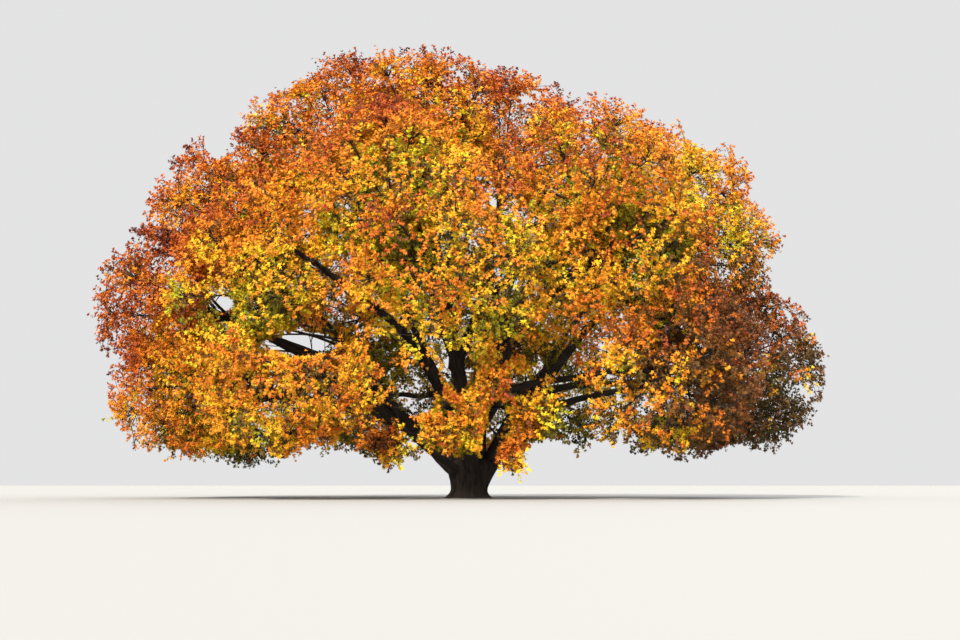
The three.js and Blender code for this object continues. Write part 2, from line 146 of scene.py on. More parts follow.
# The eye, and gaps that show the sky from there: centre across and up, half width and half height, in the
# upright plane through the trunk, the place that only what stands nearer than it is cleared of, and how
# patchy each is.
EYE = np.array([0.42, -65.0, 0.5])
GAPS = (
    (-6.0, 5.39, 1.25, 0.42, None, 1.2),
    (-8.65, 6.8, 0.52, 0.28, None, 1.2),
    (2.85, 1.4, 0.85, 0.65, None, 0.5),
    (-1.7, 3.7, 0.75, 0.8, -2.4, 1.0),
    (-0.3, 4.4, 0.5, 0.75, -2.4, 1.0),
    (1.9, 3.9, 0.6, 0.4, -2.4, 1.0),
    (-3.0, 5.2, 0.55, 0.5, -2.4, 1.0),
    (0.75, 1.75, 0.3, 0.75, -2.4, 0.4),
    (0.95, 2.9, 0.27, 0.5, -2.4, 0.6),
    (-7.2, 15.6, 1.9, 1.25, None, 0.6),
    (-8.9, 12.7, 0.45, 0.75, None, 0.4),
    (8.55, 13.3, 1.0, 0.95, None, 0.5),
    (11.05, 7.9, 0.42, 0.85, None, 0.5),
    (10.45, 11.0, 0.4, 0.7, None, 0.5),
)
# The size of the noise that makes gaps' edges and limbs' clearings patchy.
EDGE_GRAIN = 0.55
# Where the underside hangs lower, at the front alone, or rises, at every depth: across, half width and how
# far down.
HANGING = (
    (-2.5, 0.7, 0.45), (1.45, 0.45, 0.9), (4.0, 0.8, 0.4), (7.1, 0.9, 0.45),
    (-4.5, 0.8, -0.35), (-8.0, 0.7, -0.2),
)
# Patches where leaves are thin: their grain and how thin, and each one's centre across and up, half width and
# half height.
THIN_GRAIN, THINNESS = 0.6, 0.6
THIN_PATCHES = ((1.3, 10.7, 0.9, 2.6), (6.2, 3.4, 3.2, 0.8), (-4.2, 8.3, 1.0, 0.7))
# Low sprays that hang in front of the lobes: the lobe whose bough carries each, its middle and its reach.
LOW_SPRAYS = (
    ("skirt_8", (2.1, -6.5, 2.75), 1.0),
    ("skirt_8", (1.45, -6.7, 1.4), 0.55),
    ("skirt_7", (-2.4, -6.6, 1.7), 0.62),
)
# Thin branches that cross the wide gap: the lobe whose bough carries each, the share along it, and the
# branch's tip.
BARE_BRANCHES = (
    ("shoulder_2", 0.72, (-7.3, -3.0, 5.8)),
    ("shoulder_2", 0.78, (-7.0, -3.0, 5.35)),
    ("shoulder_2", 0.84, (-6.5, -3.3, 5.75)),
    ("shoulder_9", 0.78, (-8.4, 1.2, 5.2)),
)
# Limbs that show through the leaves from the front: the lobe's bough, two shares along it, and half the
# width cleared.
LIMB_VIEWS = (
    ("cap_1", 0.22, 0.36, 0.2), ("cap_1", 0.36, 0.55, 0.17), ("cap_2", 0.3, 0.44, 0.13),
    ("dome_1", 0.1, 0.3, 0.16), ("dome_1", 0.3, 0.5, 0.15), ("dome_1", 0.8, 1.0, 0.14),
    ("shoulder_1", 0.24, 0.4, 0.18), ("shoulder_4", 0.32, 0.52, 0.15), ("shoulder_5", 0.34, 0.5, 0.12),
    ("shoulder_5", 0.5, 0.66, 0.1), ("skirt_1", 0.45, 0.7, 0.1),
)

# How far leaves have turned, 0 to 1: what all have, and what the crown's right takes off and its top, a
# lobe's top, the shade, a lobe's outside and a side branch's tip add. What the shade adds is painted shade:
# riper tints are darker and redder.
RIPE_START, RIPE_RIGHT, RIPE_TOP, RIPE_LOBE_TOP, PAINTED_SHADE_RIPENESS = 0.24, 0.04, 0.15, 0.17, 0.13
RIPE_OUTSIDE, RIPE_TIP = 0.5, 0.36
# The share of a lobe's radius and of a side branch that add nothing, and what chance does.
USUAL_OUT, USUAL_SHARE, RIPE_CHANCE = 0.72, 0.68, 0.06
CROWN_HALF_WIDTH, CROWN_TOP = 12.5, 15.5
# Patches of leaves that have turned more or less: their size, what sets the pattern apart, and how much.
RIPE_PATCHES = ((2.1, 5.1, 0.52), (0.95, 9.7, 0.34))
# Sprays that have turned further than those round them: place, radius and how much further.
RUDDY = (
    (0.0, -7.6, 2.2, 1.6, 0.34), (2.2, -6.8, 2.5, 1.2, 0.12), (1.5, -6.7, 1.3, 0.8, 0.36),
    (3.4, -7.5, 4.6, 1.3, 0.16), (0.4, -6.8, 4.6, 1.4, -0.24), (-2.5, -6.7, 1.7, 1.0, 0.42),
    (-4.8, -7.8, 2.4, 2.2, 0.24), (-8.7, -6.0, 3.0, 2.2, 0.18), (-12.2, -1.0, 5.4, 2.6, 0.34),
    (-10.6, -3.8, 4.4, 2.2, 0.14), (-11.9, 0.0, 8.2, 2.4, 0.26), (-9.0, -4.5, 8.6, 2.6, 0.18),
    (-9.6, -1.0, 11.4, 2.0, 0.2), (-1.0, 0.0, 15.2, 3.0, 0.18), (1.4, -2.0, 13.8, 2.0, 0.24),
    (7.6, -3.5, 10.4, 2.8, -0.14), (6.8, -7.4, 3.4, 2.6, 0.3), (9.6, -3.5, 4.8, 2.2, 0.1),
)
# The way that the strongest light comes from, for the sprays on each lobe's far side.
SUNWARD = np.array([-0.48, -0.62, 0.62])
# Where, from left to right and from the top down, the crown's shaded sprays begin, and how soon they become
# the rule. Their darker tints are painted shade.
SHADE_START, SHADE_WIDTH, SHADE_TOP, SHADE_HEIGHT = 4.6, 3.6, 9.2, 4.0
# How likely a shaded tint, painted shade, is in that shade, on a lobe's far side, at a side branch's foot, up
# to the share given, and near the ground, from the height given over the depth given.
SHADE_CHANCE, FAR_SIDE_CHANCE, FOOT_CHANCE, FOOT_SHARE = 0.95, 0.2, 0.5, 0.62
LOW_CHANCE, LOW_FROM, LOW_DEPTH = 0.13, 4.6, 2.5
SHADE_GRAIN = 1.4
# Places in the shaded side that the sun still reaches: the share of painted shade it takes off, place and
# radius.
SUNLIT_SHARE = 0.75
SUNLIT = ((9.2, -3.6, 4.8, 1.1), (6.4, -7.6, 4.4, 1.4), (7.2, -7.4, 2.4, 0.9))

# A leaf's corners, across and along, in shares of its length: one face with the side lobes, one with the
# middle lobe.
LEAF_CORNERS = ((0.0, 0.0), (0.56, 0.64), (-0.56, 0.64), (-0.27, 0.1), (0.27, 0.1), (0.0, 1.0))
# How far a leaf's side lobes are rolled, its middle lobe's foot raised and its tip curled, in its lengths.
LEAF_ROLL, LEAF_RAISE, LEAF_CURL = (-0.12, 0.34), 0.03, (-0.42, 0.12)
# The roughness and shine of leaves, twigs and floor.
LEAF_FINISH, TWIG_FINISH, FLOOR_FINISH = (0.62, 0.16), (0.8, 0.25), (0.9, 0.1)
# The branches and side branches: their radius at the foot and the tip, rings and sides. A sprig's radius at
# its foot.
WOOD_TUBES = (("branches", 0.058, 0.016, 7, 6), ("sides", 0.021, 0.007, 3, 3))
SPRIG_RADIUS = 0.007
WOOD_PIECES = (
    ("branches", ("shoulder", "cap", "dome", "skirt")),
    ("upper_sprigs", ("cap", "dome")),
    ("lower_sprigs", ("shoulder", "skirt")),
)
# The boughs that leave the trunk, and the others: the piece's name, sides and rings.
BOUGH_PIECES = ((True, "barked_boughs", 32, 112), (False, "barked_side_boughs", 16, 66))
TRUNK_RINGS, TRUNK_TOP_RINGS = 64, 14
FLOOR_RADIUS, FLOOR_HEIGHT, FLOOR_SIDES = 400.0, -0.002, 96
# Lights: turn, height, strength, softness in degrees and colour.
LAMPS = (
    ("key", -21, 33, 4.6, 5, (1.0, 0.95, 0.86)),
    ("top", 14, 46, 1.7, 80, (1.0, 0.95, 0.88)),
    ("back", 160, 36, 1.1, 40, (0.95, 0.97, 1.0)),
)
FILL_STRENGTH = 0.82
SENSOR_WIDTH, LENS, NEAREST, FURTHEST, AIM_HEIGHT = 36.0, 69.6, 0.5, 900.0, 6.23


def unit(vectors):
    """Each vector divided by its length."""
    return vectors / np.maximum(np.linalg.norm(vectors, axis=-1, keepdims=True), 1e-12)


def mix(a, b, share):
    """From a to b in a straight line: a plus the share of their difference."""
    return a + (b - a) * share


def dot(a, b):
    """The sum of the products of two arrays' last parts, kept as a last part of one."""
    return np.sum(a * b, axis=-1, keepdims=True)


def square_to(vectors):
    """A unit vector square to each one: its cross product with the axis that it leans least along."""
    least = np.eye(3)[np.argmin(np.abs(vectors), axis=-1)]
    return unit(np.cross(vectors, least))


def turned(vectors, axes, angles):
    """Vectors square to unit axes, turned round them: vector times cosine plus axis cross vector times
    sine."""
    angles = np.asarray(angles)[..., None]
    return vectors * np.cos(angles) + np.cross(axes, vectors) * np.sin(angles)


def scatter(seed, k):
    """A number from 0 to 1: what follows the point in 43758.5453 times the sine of 12.9898 seed plus 78.233
    k."""
    value = math.sin(seed * 12.9898 + k * 78.233) * 43758.5453
    return value - math.floor(value)


def lattice_noise(places):
    """Smooth noise from 0 to 1: a scattered number at each whole corner of space, mixed between corners by
    3t^2 - 2t^3. A number added to the places sets one pattern apart from another."""
    cell = np.floor(places).astype(np.int64)
    share = places - cell
    share = share * share * (3 - 2 * share)
    total = np.zeros(places.shape[:-1])
    for corner in np.ndindex(2, 2, 2):
        at = cell + np.array(corner)
        mixed = (at[..., 0] * AXIS_MIX[0]) ^ (at[..., 1] * AXIS_MIX[1]) ^ (at[..., 2] * AXIS_MIX[2])
        mixed = (mixed * FIRST_MIX + 97) & 0xFFFFFFFF
        mixed = ((mixed ^ (mixed >> 15)) * SECOND_MIX) & 0xFFFFFFFF
        value = ((mixed ^ (mixed >> 13)) & 0xFFFFFF) / 0xFFFFFF
        weight = np.prod(np.where(np.array(corner) == 1, share, 1 - share), axis=-1)
        total += value * weight
    return total


def uneven(places):
    """The same noise about nought: from -1/2 to 1/2."""
    return lattice_noise(places) - 0.5


def sway(places, size=1.6, reach=0.36):
    """Limbs' crooks: each coordinate moved by noise of its own, from -reach/2 to reach/2 above 2.7 m, none
    below 1.1 m."""
    fade = np.clip((places[..., 2:] - STRAIGHT_BELOW) / SWAY_RISE, 0, 1)
    moved = np.stack([uneven(places / size + APART["sway"] * (k + 1)) for k in range(3)], axis=-1)
    return places + moved * reach * fade


# Limbs and lobes.


def crown_lobes():
    """Every lobe: tier, index, angle, centre and radius. A centre lies on an oval ring, its half reach less
    the radius."""
    lobes = []
    for tier, count, turn, height, reach, radius in TIERS:
        half, middle = (reach[0] + reach[1]) / 2, (reach[1] - reach[0]) / 2
        for k in range(count):
            angle = math.radians(turn + 360 * k / count)
            centre = np.array([
                middle + (half - radius) * math.cos(angle),
                (half * DEPTH_SHARE - radius) * math.sin(angle),
                mix(height[1], height[0], (1 - math.cos(angle)) / 2),
            ])
            lobe = {"tier": tier, "index": k, "name": f"{tier}_{k + 1}", "angle": angle}
            own = APRON if (tier, k) == APRON_LOBE else {"centre": centre, "radius": radius}
            lobes.append({**lobe, **own})
    return lobes


LOBES = crown_lobes()
CENTRES = np.array([lobe["centre"] for lobe in LOBES])
RADII = np.array([lobe["radius"] for lobe in LOBES])


def nearest_of(tier, lobe):
    """The place in LOBES of that tier's lobe whose angle is nearest, by the cosine of the difference, first
    of equals."""
    best, found = -math.inf, None
    for k, other in enumerate(LOBES):
        value = math.cos(other["angle"] - lobe["angle"])
        if other["tier"] == tier and value > best + 1e-6:
            best, found = value, k
    return found


def carrier_of(lobe):
    """The place in LOBES of the lobe whose bough carries this one's, or None where the trunk does."""
    if lobe["tier"] == "cap":
        return None
    if lobe["tier"] == "dome":
        return nearest_of("cap", lobe)
    if lobe["tier"] == "skirt":
        return None if lobe["index"] == LOW_BOUGH_INDEX else nearest_of("shoulder", lobe)
    return None if lobe["index"] % 2 == 0 else LOBES.index(lobe) - 1


def trunk_section(z):
    """Half width, half depth and centre of the trunk: from the waist to the fork by the 1.2th power of the
    height."""
    up = np.clip((z - WAIST_HEIGHT) / (FORK_HEIGHT - WAIST_HEIGHT), 0, 1) ** WIDEN_POWER
    half_width, half_depth = (mix(WAIST_RADIUS, half, up) for half in (FORK_HALF_WIDTH, FORK_HALF_DEPTH))
    return half_width, half_depth, FORK_LEAN * z / FORK_HEIGHT


class Course:
    """A cubic curve measured by its length: the four points weighted by (1-t)^3, 3t(1-t)^2, 3t^2(1-t) and
    t^3."""

    def __init__(self, points):
        """Takes the four points and adds up the curve's length in 200 steps."""
        self.points = np.array(points)
        self.steps = np.linspace(0, 1, 201)
        run = np.linalg.norm(np.diff(self.bezier(self.steps), axis=0), axis=1)
        self.run = np.concatenate([[0], np.cumsum(run)])
        self.length = self.run[-1]

    def bezier(self, t):
        """The curve's place at t."""
        t = np.asarray(t)[..., None]
        p = self.points
        return (1 - t) ** 3 * p[0] + 3 * t * (1 - t) ** 2 * p[1] + 3 * t * t * (1 - t) * p[2] + t**3 * p[3]

    def at(self, share):
        """The place a share of the length along."""
        return self.bezier(np.interp(np.asarray(share) * self.length, self.run, self.steps))

    def way(self, share):
        """The unit direction there, from just before to just after."""
        near = np.clip(share, 0.0005, 0.9995)
        return unit(self.at(near + 0.0005) - self.at(near - 0.0005))


def grow_boughs():
    """Each lobe's bough: a course from its seat or carrier that starts along a blend of the chord and its
    lead, and ends pointing into the lobe."""
    made = [None] * len(LOBES)
    order = sorted(range(len(LOBES)), key=lambda k: carrier_of(LOBES[k]) is not None)
    for k in order:
        lobe = LOBES[k]
        carrier = carrier_of(lobe)
        low = lobe["tier"] == "skirt" and carrier is None
        form = {**BOUGHS[lobe["tier"]], **(LOW_BOUGH if low else {})}
        outward = np.array([math.cos(lobe["angle"]), math.sin(lobe["angle"]), 0.0])
        if carrier is None:
            z = FORK_HEIGHT - SEAT_DEPTH
            half_width, half_depth, x = trunk_section(z)
            share = LEADER_SEAT_SHARE if lobe["tier"] == "cap" else SEAT_SHARE
            start = np.array([x + share * half_width * outward[0], share * half_depth * outward[1], z])
            lead, blend = UP, form["steep"]
        else:
            course = made[carrier]["course"]
            start, lead, blend = course.at(form["fork"]), course.way(form["fork"]), LEAD_SHARE
        chord = unit(lobe["centre"] - start)
        first = unit(mix(chord, lead, blend))
        last = unit(mix(chord, outward, form["level"]))
        end = lobe["centre"] - last * ENTRY_SHARE * lobe["radius"]
        third = np.linalg.norm(end - start) / 3
        share = form["side"] if carrier is not None and "side" in form else 1
        made[k] = {
            "course": Course([start, start + first * third, end - last * third, end]),
            "radius": np.array(form["radius"]) * share,
            "large": carrier is None and not low,
            "end": end,
        }
    return made


BOUGH_COURSES = grow_boughs()
LIMB_ENDS = [
    (sway(BOUGH_COURSES[k]["course"].at(np.array([start, end]))), half_width)
    for name, start, end, half_width in LIMB_VIEWS
    for k, lobe in enumerate(LOBES)
    if lobe["name"] == name
]


def in_plane(places):
    """Where the sight line to each place crosses the upright plane through the trunk: across and up."""
    away = EYE[1] / (EYE[1] - places[..., 1])
    return EYE[0] + (places[..., 0] - EYE[0]) * away, EYE[2] + (places[..., 2] - EYE[2]) * away


def outside_gaps(places, slack):
    """Whether the sight line to each place misses every gap: its squared distance from the gap's centre, in
    half widths and heights, is over 1 plus the slack and a patchy noise."""
    x, z = in_plane(places)
    clear = np.ones(x.shape, bool)
    patchy = uneven(places / EDGE_GRAIN + APART["gaps"])
    for gap_x, gap_z, half_width, half_height, nearer, ragged in GAPS:
        out = ((x - gap_x) / half_width) ** 2 + ((z - gap_z) / half_height) ** 2 > 1 + slack + ragged * patchy
        clear &= out if nearer is None else out | (places[..., 1] > nearer)
    return clear


def off_limbs(places):
    """Whether places keep the limbs in view: none is nearer than a limb's straight stretch and, seen from
    the front, closer to it than half the cleared width, made patchy by noise."""
    x, z = in_plane(places)
    kept = np.ones(x.shape, bool)
    patchy = 3.2 * lattice_noise(places / EDGE_GRAIN + APART["limbs"]) - 0.5
    for ends, half_width in LIMB_ENDS:
        (x0, x1), (z0, z1) = in_plane(ends)
        along = ((x - x0) * (x1 - x0) + (z - z0) * (z1 - z0)) / ((x1 - x0) ** 2 + (z1 - z0) ** 2)
        along = np.clip(along, 0, 1)
        apart = np.hypot(x - mix(x0, x1, along), z - mix(z0, z1, along))
        kept &= (apart > half_width * patchy) | (places[..., 1] > mix(ends[0, 1], ends[1, 1], along))
    return kept


def outside_patches(places):
    """Whether places keep their leaves: in a thin patch, noise is over 0.6 times 1 less the squared distance
    from its centre, in half widths and heights."""
    noise = lattice_noise(places / THIN_GRAIN + APART["thin"])
    kept = np.ones(noise.shape, bool)
    for patch_x, patch_z, half_width, half_height in THIN_PATCHES:
        across, up = (places[..., 0] - patch_x) / half_width, (places[..., 2] - patch_z) / half_height
        kept &= noise > THINNESS * (1 - across**2 - up**2)
    return kept


def open_air(places, slack=0.0):
    """Whether places lie over the crown's ragged underside, which rises from left to right and hangs in
    tufts, and out of the gaps."""
    right = np.clip((places[..., 0] / UNDERSIDE_HALF_SPAN + 1) / 2, 0, 1)
    ragged = 0.0
    for size, grain, apart, middle in UNDERSIDE_TUFTS:
        ragged = ragged + size * (lattice_noise(places * np.array([grain, grain, 0.0]) + apart) - middle)
    for x, half_width, down in HANGING:
        there = np.exp(-(((places[..., 0] - x) / half_width) ** 2))
        ragged -= down * (there * (1 if down < 0 else places[..., 1] < FRONT_FROM))
    over = places[..., 2] > mix(UNDERSIDE_LEFT, UNDERSIDE_RIGHT, right) + ragged
    return over & outside_gaps(places, slack)


def in_space(places, k, border=0.0, slack=0.0):
    """Whether places lie in lobe k's own space: in its ball, on its side of each flat border by the depth
    given, and in open air."""
    power = np.sum((places[..., None, :] - CENTRES) ** 2, axis=-1) - RADII**2
    apart = np.linalg.norm(CENTRES - CENTRES[k], axis=-1)
    apart[k] = np.inf
    depth = (power - power[..., k : k + 1]) / (2 * apart)
    inside = (power[..., k] < 0) & np.all(depth >= np.where(np.isinf(apart), -1.0, border), axis=-1)
    return inside & open_air(places, slack)


def room_along(k, ways, steps=40):
    """How far one can go from lobe k's centre along each way and stay in its space, in fortieths of its
    radius."""
    step = RADII[k] / steps
    ahead = CENTRES[k] + ways[:, None, :] * (step * np.arange(1, steps + 1))[None, :, None]
    return step * np.sum(np.cumprod(in_space(ahead, k), axis=1), axis=1)


# Branches, twigs and leaves.


def in_rows(shoots):
    """Shoots as rows, so that a place can be had at several shares along each."""
    return {key: shoots[key][:, None, :] for key in ("start", "elbow", "tip")}


def bent(shoots, share):
    """Points on shoots: the start, elbow and tip weighted by (1-t)^2, 2t(1-t) and t^2."""
    t = np.asarray(share)[..., None]
    return (1 - t) ** 2 * shoots["start"] + 2 * t * (1 - t) * shoots["elbow"] + t * t * shoots["tip"]


def bent_way(shoots, share):
    """The unit direction of shoots at a share: (1-t) times start to elbow plus t times elbow to tip."""
    t = np.asarray(share)[..., None]
    return unit((1 - t) * (shoots["elbow"] - shoots["start"]) + t * (shoots["tip"] - shoots["elbow"]))


def even_ways(k, count, spread):
    """Ways spread evenly over the side of lobe k that faces out of the crown, as far round as the angle
    given: each a golden angle on from the last."""
    facing = unit(LOBES[k]["centre"] - HEART)
    number = np.arange(count)
    height = mix(1.0, math.cos(math.radians(spread)), (number + TWIG_OFFSET_SHARE) / count)
    level = unit(np.cross(facing, UP))[None, :].repeat(count, 0)
    level = turned(level, facing, GOLDEN_ANGLE * number + TAU * scatter(k, 1))
    return facing * height[:, None] + level * np.sqrt(1 - height**2)[:, None]


def shoots_between(start, tip, lead, pull):
    """Shoots that leave along a blend of their chord and their carrier's way, weighted by the pull, and bend
    to their tips."""
    chord = tip - start
    length = np.linalg.norm(chord, axis=1, keepdims=True)
    elbow = start + ELBOW_SHARE * length * unit(unit(chord) + pull * lead)
    return {"start": start, "elbow": elbow, "tip": tip, "share": np.ones(len(start))}


def clear_of_gaps(shoots):
    """The shoots whose middle and third quarter lie in open air."""
    kept = open_air(bent(shoots, 0.5)) & open_air(bent(shoots, 0.75))
    return {key: value[kept] for key, value in shoots.items()}


def first_branches(k, sizes, rng):
    """A lobe's branches, from its stem: even ways, each as long as its room allows."""
    ways = even_ways(k, sizes.branches, sizes.branch_spread)
    room = room_along(k, ways)
    kept = room > sizes.least_room * RADII[k]
    number = np.arange(sizes.branches)[kept]
    base, centre = BOUGH_COURSES[k]["end"], CENTRES[k]
    stem_share = mix(FIRST_TWIG_SHARE * 0.6, 1.0, number / (sizes.branches - 1))[:, None]
    reach = room[kept] * rng.uniform(*BRANCH_REACH, len(number)) - BRANCH_SHORT
    start, tip = sway(mix(base, centre, stem_share)), centre + ways[kept] * reach[:, None]
    return clear_of_gaps(shoots_between(start, tip, unit(centre - base), BRANCH_PULL))


def side_branches(k, branches, sizes, rng):
    """Side branches to places spread evenly over the lobe's outside, each from the nearest point of a
    branch, points further out than the place counting as further off."""
    x, y, _ = CENTRES[k]
    fullness = sizes.back_fullness if y > BACK_FROM else sizes.front_fullness
    fullness = sizes.edge_fullness if abs(x) > EDGE_FROM else fullness
    ways = even_ways(k, round(sizes.side_branches * fullness), sizes.side_spread)
    room = room_along(k, ways)
    kept = room > sizes.least_room * RADII[k]
    ways, room = ways[kept], room[kept]
    reach = room * (1 - sizes.side_depth * rng.uniform(0, 1, len(room)) ** SIDE_DEPTH_POWER) - SIDE_SHORT
    tips = CENTRES[k] + ways * reach[:, None]
    loose = rng.uniform(-0.025, 0.025, (len(branches["start"]), SIDE_SEATS))
    grown, share = in_rows(branches), np.linspace(*SIDE_SPAN, SIDE_SEATS) + loose
    seats, leads = bent(grown, share).reshape(-1, 3), bent_way(grown, share).reshape(-1, 3)
    apart = np.linalg.norm(tips[:, None, :] - seats, axis=-1)
    further = np.linalg.norm(seats - CENTRES[k], axis=-1) - reach[:, None]
    nearest = np.argmin(apart + BEYOND_WEIGHT * np.maximum(0, further + 0.5), axis=1)
    return clear_of_gaps(shoots_between(seats[nearest], tips, leads[nearest], SIDE_PULL))


def inner_branches(k, sizes, rng):
    """Short branches along lobe k's bough and stem, each a golden angle on from the last and leaning off the
    limb, where the tip stays in open air."""
    course = BOUGH_COURSES[k]["course"]
    count = sizes.inner_branches + (FRONT_INNER_BRANCHES if CENTRES[k][1] < FRONT_FROM else 0)
    share = np.linspace(*INNER_SPAN, count) + rng.uniform(-0.03, 0.03, count)
    way = course.way(share)
    round_ = turned(square_to(way), way, GOLDEN_ANGLE * np.arange(count) + TAU * scatter(k, 5))
    lean = np.radians(rng.uniform(*INNER_LEANS, count))[:, None]
    out = unit(way * np.cos(lean) + round_ * np.sin(lean) + INNER_LIFT * UP)
    on_stem = np.clip((share - 1) / 0.35, 0, 1)[:, None]
    start = sway(course.at(np.minimum(share, 1)) + on_stem * (CENTRES[k] - BOUGH_COURSES[k]["end"]))
    tip = start + out * sizes.inner_length * rng.uniform(*INNER_SHARES, (count, 1))
    kept = open_air(tip)
    return shoots_between(start[kept], tip[kept], way[kept], INNER_PULL)


def low_sprays(k, sizes, rng):
    """The branches that carry lobe k's low sprays, each from the nearest point of the bough to the spray's
    middle, and side branches from their outer halves to places spread evenly over the spray, a golden angle
    apart. The bare branches of lobe k's bough come with the first."""
    course = BOUGH_COURSES[k]["course"]
    share = np.linspace(0.15, 1, 40)
    seats, leads = sway(course.at(share)), course.way(share)
    branches, sides = [], []
    for name, middle, reach in LOW_SPRAYS:
        if name != LOBES[k]["name"]:
            continue
        middle = np.array([middle])
        seat = np.argmin(np.linalg.norm(seats - middle, axis=1))
        branches.append(shoots_between(seats[seat : seat + 1], middle, leads[seat : seat + 1], SPRAY_PULL))
        count = round(sizes.spray_branches * reach**1.6)
        number = np.arange(count)
        height = 1 - 2 * (number + 0.5) / count
        around = np.stack([np.cos(GOLDEN_ANGLE * number), np.sin(GOLDEN_ANGLE * number)], axis=-1)
        ways = np.concatenate([around * np.sqrt(1 - height**2)[:, None], height[:, None]], axis=1)
        tips = middle + reach * ways * rng.uniform(0.5, 0.95, (count, 1))
        at = rng.uniform(0.5, 1.0, count)
        sides.append(shoots_between(bent(branches[-1], at), tips, bent_way(branches[-1], at), SPRAY_PULL))
    for name, at, tip in BARE_BRANCHES:
        if name == LOBES[k]["name"]:
            at = np.array([at])
            branches.append(shoots_between(sway(course.at(at)), np.array([tip]), course.way(at), SIDE_PULL))
    return branches, sides


def in_pairs(parents, share, loose, rng):
    """Places on every parent at the shares given, the parent's way there, and a direction square to it. Two
    of a pair face apart, and each pair is a quarter turn on from the last, from a turn that is each parent's
    own, give or take."""
    grown, order = in_rows(parents), np.arange(share.shape[1])
    way = bent_way(grown, share)
    turn = math.pi / 2 * (order // 2) + math.pi * (order % 2)
    turn = turn + rng.uniform(-loose, loose, share.shape) + rng.uniform(0, TAU, (len(share), 1))
    return bent(grown, share), way, turned(square_to(way), way, turn)


def side_shoots(parents, shares, length, lean, lift, fits, rng):
    """Shoots from every parent at the shares given, in pairs, the last one straight on. A shoot leans off
    its parent's way by the lean and bends up by the lift. It is tried at falling lengths, and left out where
    none fits."""
    n, m = len(parents["start"]), len(shares)
    share = np.clip(shares + rng.uniform(-0.04, 0.04, (n, m)), 0, 1)
    share[:, -1] = 1.0
    root, way, round_ = in_pairs(parents, share, SPRIG_LOOSE, rng)
    angle = math.radians(lean) * rng.uniform(0.7, 1.25, (n, m))
    angle[:, -1] *= LAST_SPRIG_LEAN
    out = unit(way * np.cos(angle)[..., None] + round_ * np.sin(angle)[..., None])
    by_chance = rng.uniform(1 - SPRIG_SPREAD, 1 + SPRIG_SPREAD, (n, m))
    size = length * (1.12 - 0.45 * np.abs(shares - 0.45)) * by_chance
    reach = unit(out + lift * UP)
    tips = root[..., None, :] + reach[..., None, :] * (size[..., None] * SPRIG_TRIES)[..., None]
    fit = fits(tips, rng.uniform(-0.25, 0.25, (n, m, 1)))
    kept = fit.any(axis=-1)
    size = size * SPRIG_TRIES[np.argmax(fit, axis=-1)]
    return {
        "start": root[kept],
        "elbow": (root + 0.5 * out * size[..., None])[kept],
        "tip": (root + reach * size[..., None])[kept],
        "share": share[kept],
    }


def hang_leaves(k, sprigs, sizes, fits, rng):
    """Leaves along every sprig in pairs, and one at the tip. A leaf leans off the sprig, sags, and faces up
    and out."""
    share = np.append(np.repeat(np.linspace(*LEAF_SPAN, sizes.leaf_pairs), 2), 1.0)
    n, m = len(sprigs["start"]), len(share)
    at = np.broadcast_to(share, (n, m))
    root, way, round_ = in_pairs(sprigs, at, LEAF_LOOSE, rng)
    lean = np.radians(rng.uniform(*LEAF_LEANS, (n, m)))
    lean[:, -1] *= LAST_LEAF_LEAN
    sag = rng.uniform(0.0, LEAF_SAG, (n, m, 1))
    along = unit(way * np.cos(lean)[..., None] + round_ * np.sin(lean)[..., None] - sag * UP)
    out = unit(root - HEART - 2 * UP)
    face = FACE_UP * UP + FACE_OUT * out + rng.normal(0, FACE_CHANCE, (n, m, 3))
    face = unit(face - along * dot(face, along))
    length = sizes.leaf_length * rng.uniform(*LEAF_SHARES, (n, m)) * (1 - 0.18 * np.abs(at - 0.6))
    kept = fits(root + along * length[..., None] * 0.6, rng.uniform(-0.3, 0.3, (n, m)))
    tint = np.repeat(tint_numbers(k, sprigs, rng)[:, None], m, axis=1)
    leaves = {"root": root, "along": along, "face": face, "length": length, "tint": tint}
    return {key: value[kept] for key, value in leaves.items()}


def ripeness(k, sprigs, rng):
    """How far sprigs' leaves have turned, 0 green to 1 dark red: more towards the left and top, the outside
    of lobe k, a side branch's tip and the shade, where the riper, darker tint is painted shade, less along
    its bough, with noise of several sizes."""
    places = sprigs["tip"]
    out = np.linalg.norm(places - CENTRES[k], axis=1) / RADII[k]
    out = np.where(out > 1.05, 0.48, np.maximum(out, 0.45))
    value = RIPE_START - RIPE_RIGHT * places[:, 0] / CROWN_HALF_WIDTH + RIPE_TOP * places[:, 2] / CROWN_TOP
    value += RIPE_LOBE_TOP * (places[:, 2] - CENTRES[k][2]) / RADII[k] + PAINTED_SHADE_RIPENESS * in_shade(places)
    value += RIPE_OUTSIDE * (out - USUAL_OUT) + RIPE_TIP * (sprigs["share"] - USUAL_SHARE)
    for *middle, radius, more in RUDDY:
        value += more * np.exp(-((np.linalg.norm(places - np.array(middle), axis=1) / radius) ** 2))
    for size, apart, more in RIPE_PATCHES:
        value += more * uneven(places / size + apart)
    value += rng.normal(0, RIPE_CHANCE, len(places))
    return np.clip(value, 0, 0.999)


def in_shade(places):
    """How far places lie in the crown's shaded part: a share that grows to the right times one that grows
    downward, less where the sun still reaches."""
    right = np.clip((places[:, 0] - SHADE_START) / SHADE_WIDTH, 0, 1)
    shade = right * np.clip((SHADE_TOP - places[:, 2]) / SHADE_HEIGHT, 0, 1)
    for *middle, radius in SUNLIT:
        shade *= 1 - SUNLIT_SHARE * np.exp(-(((places - middle) / radius) ** 2).sum(1))
    return shade


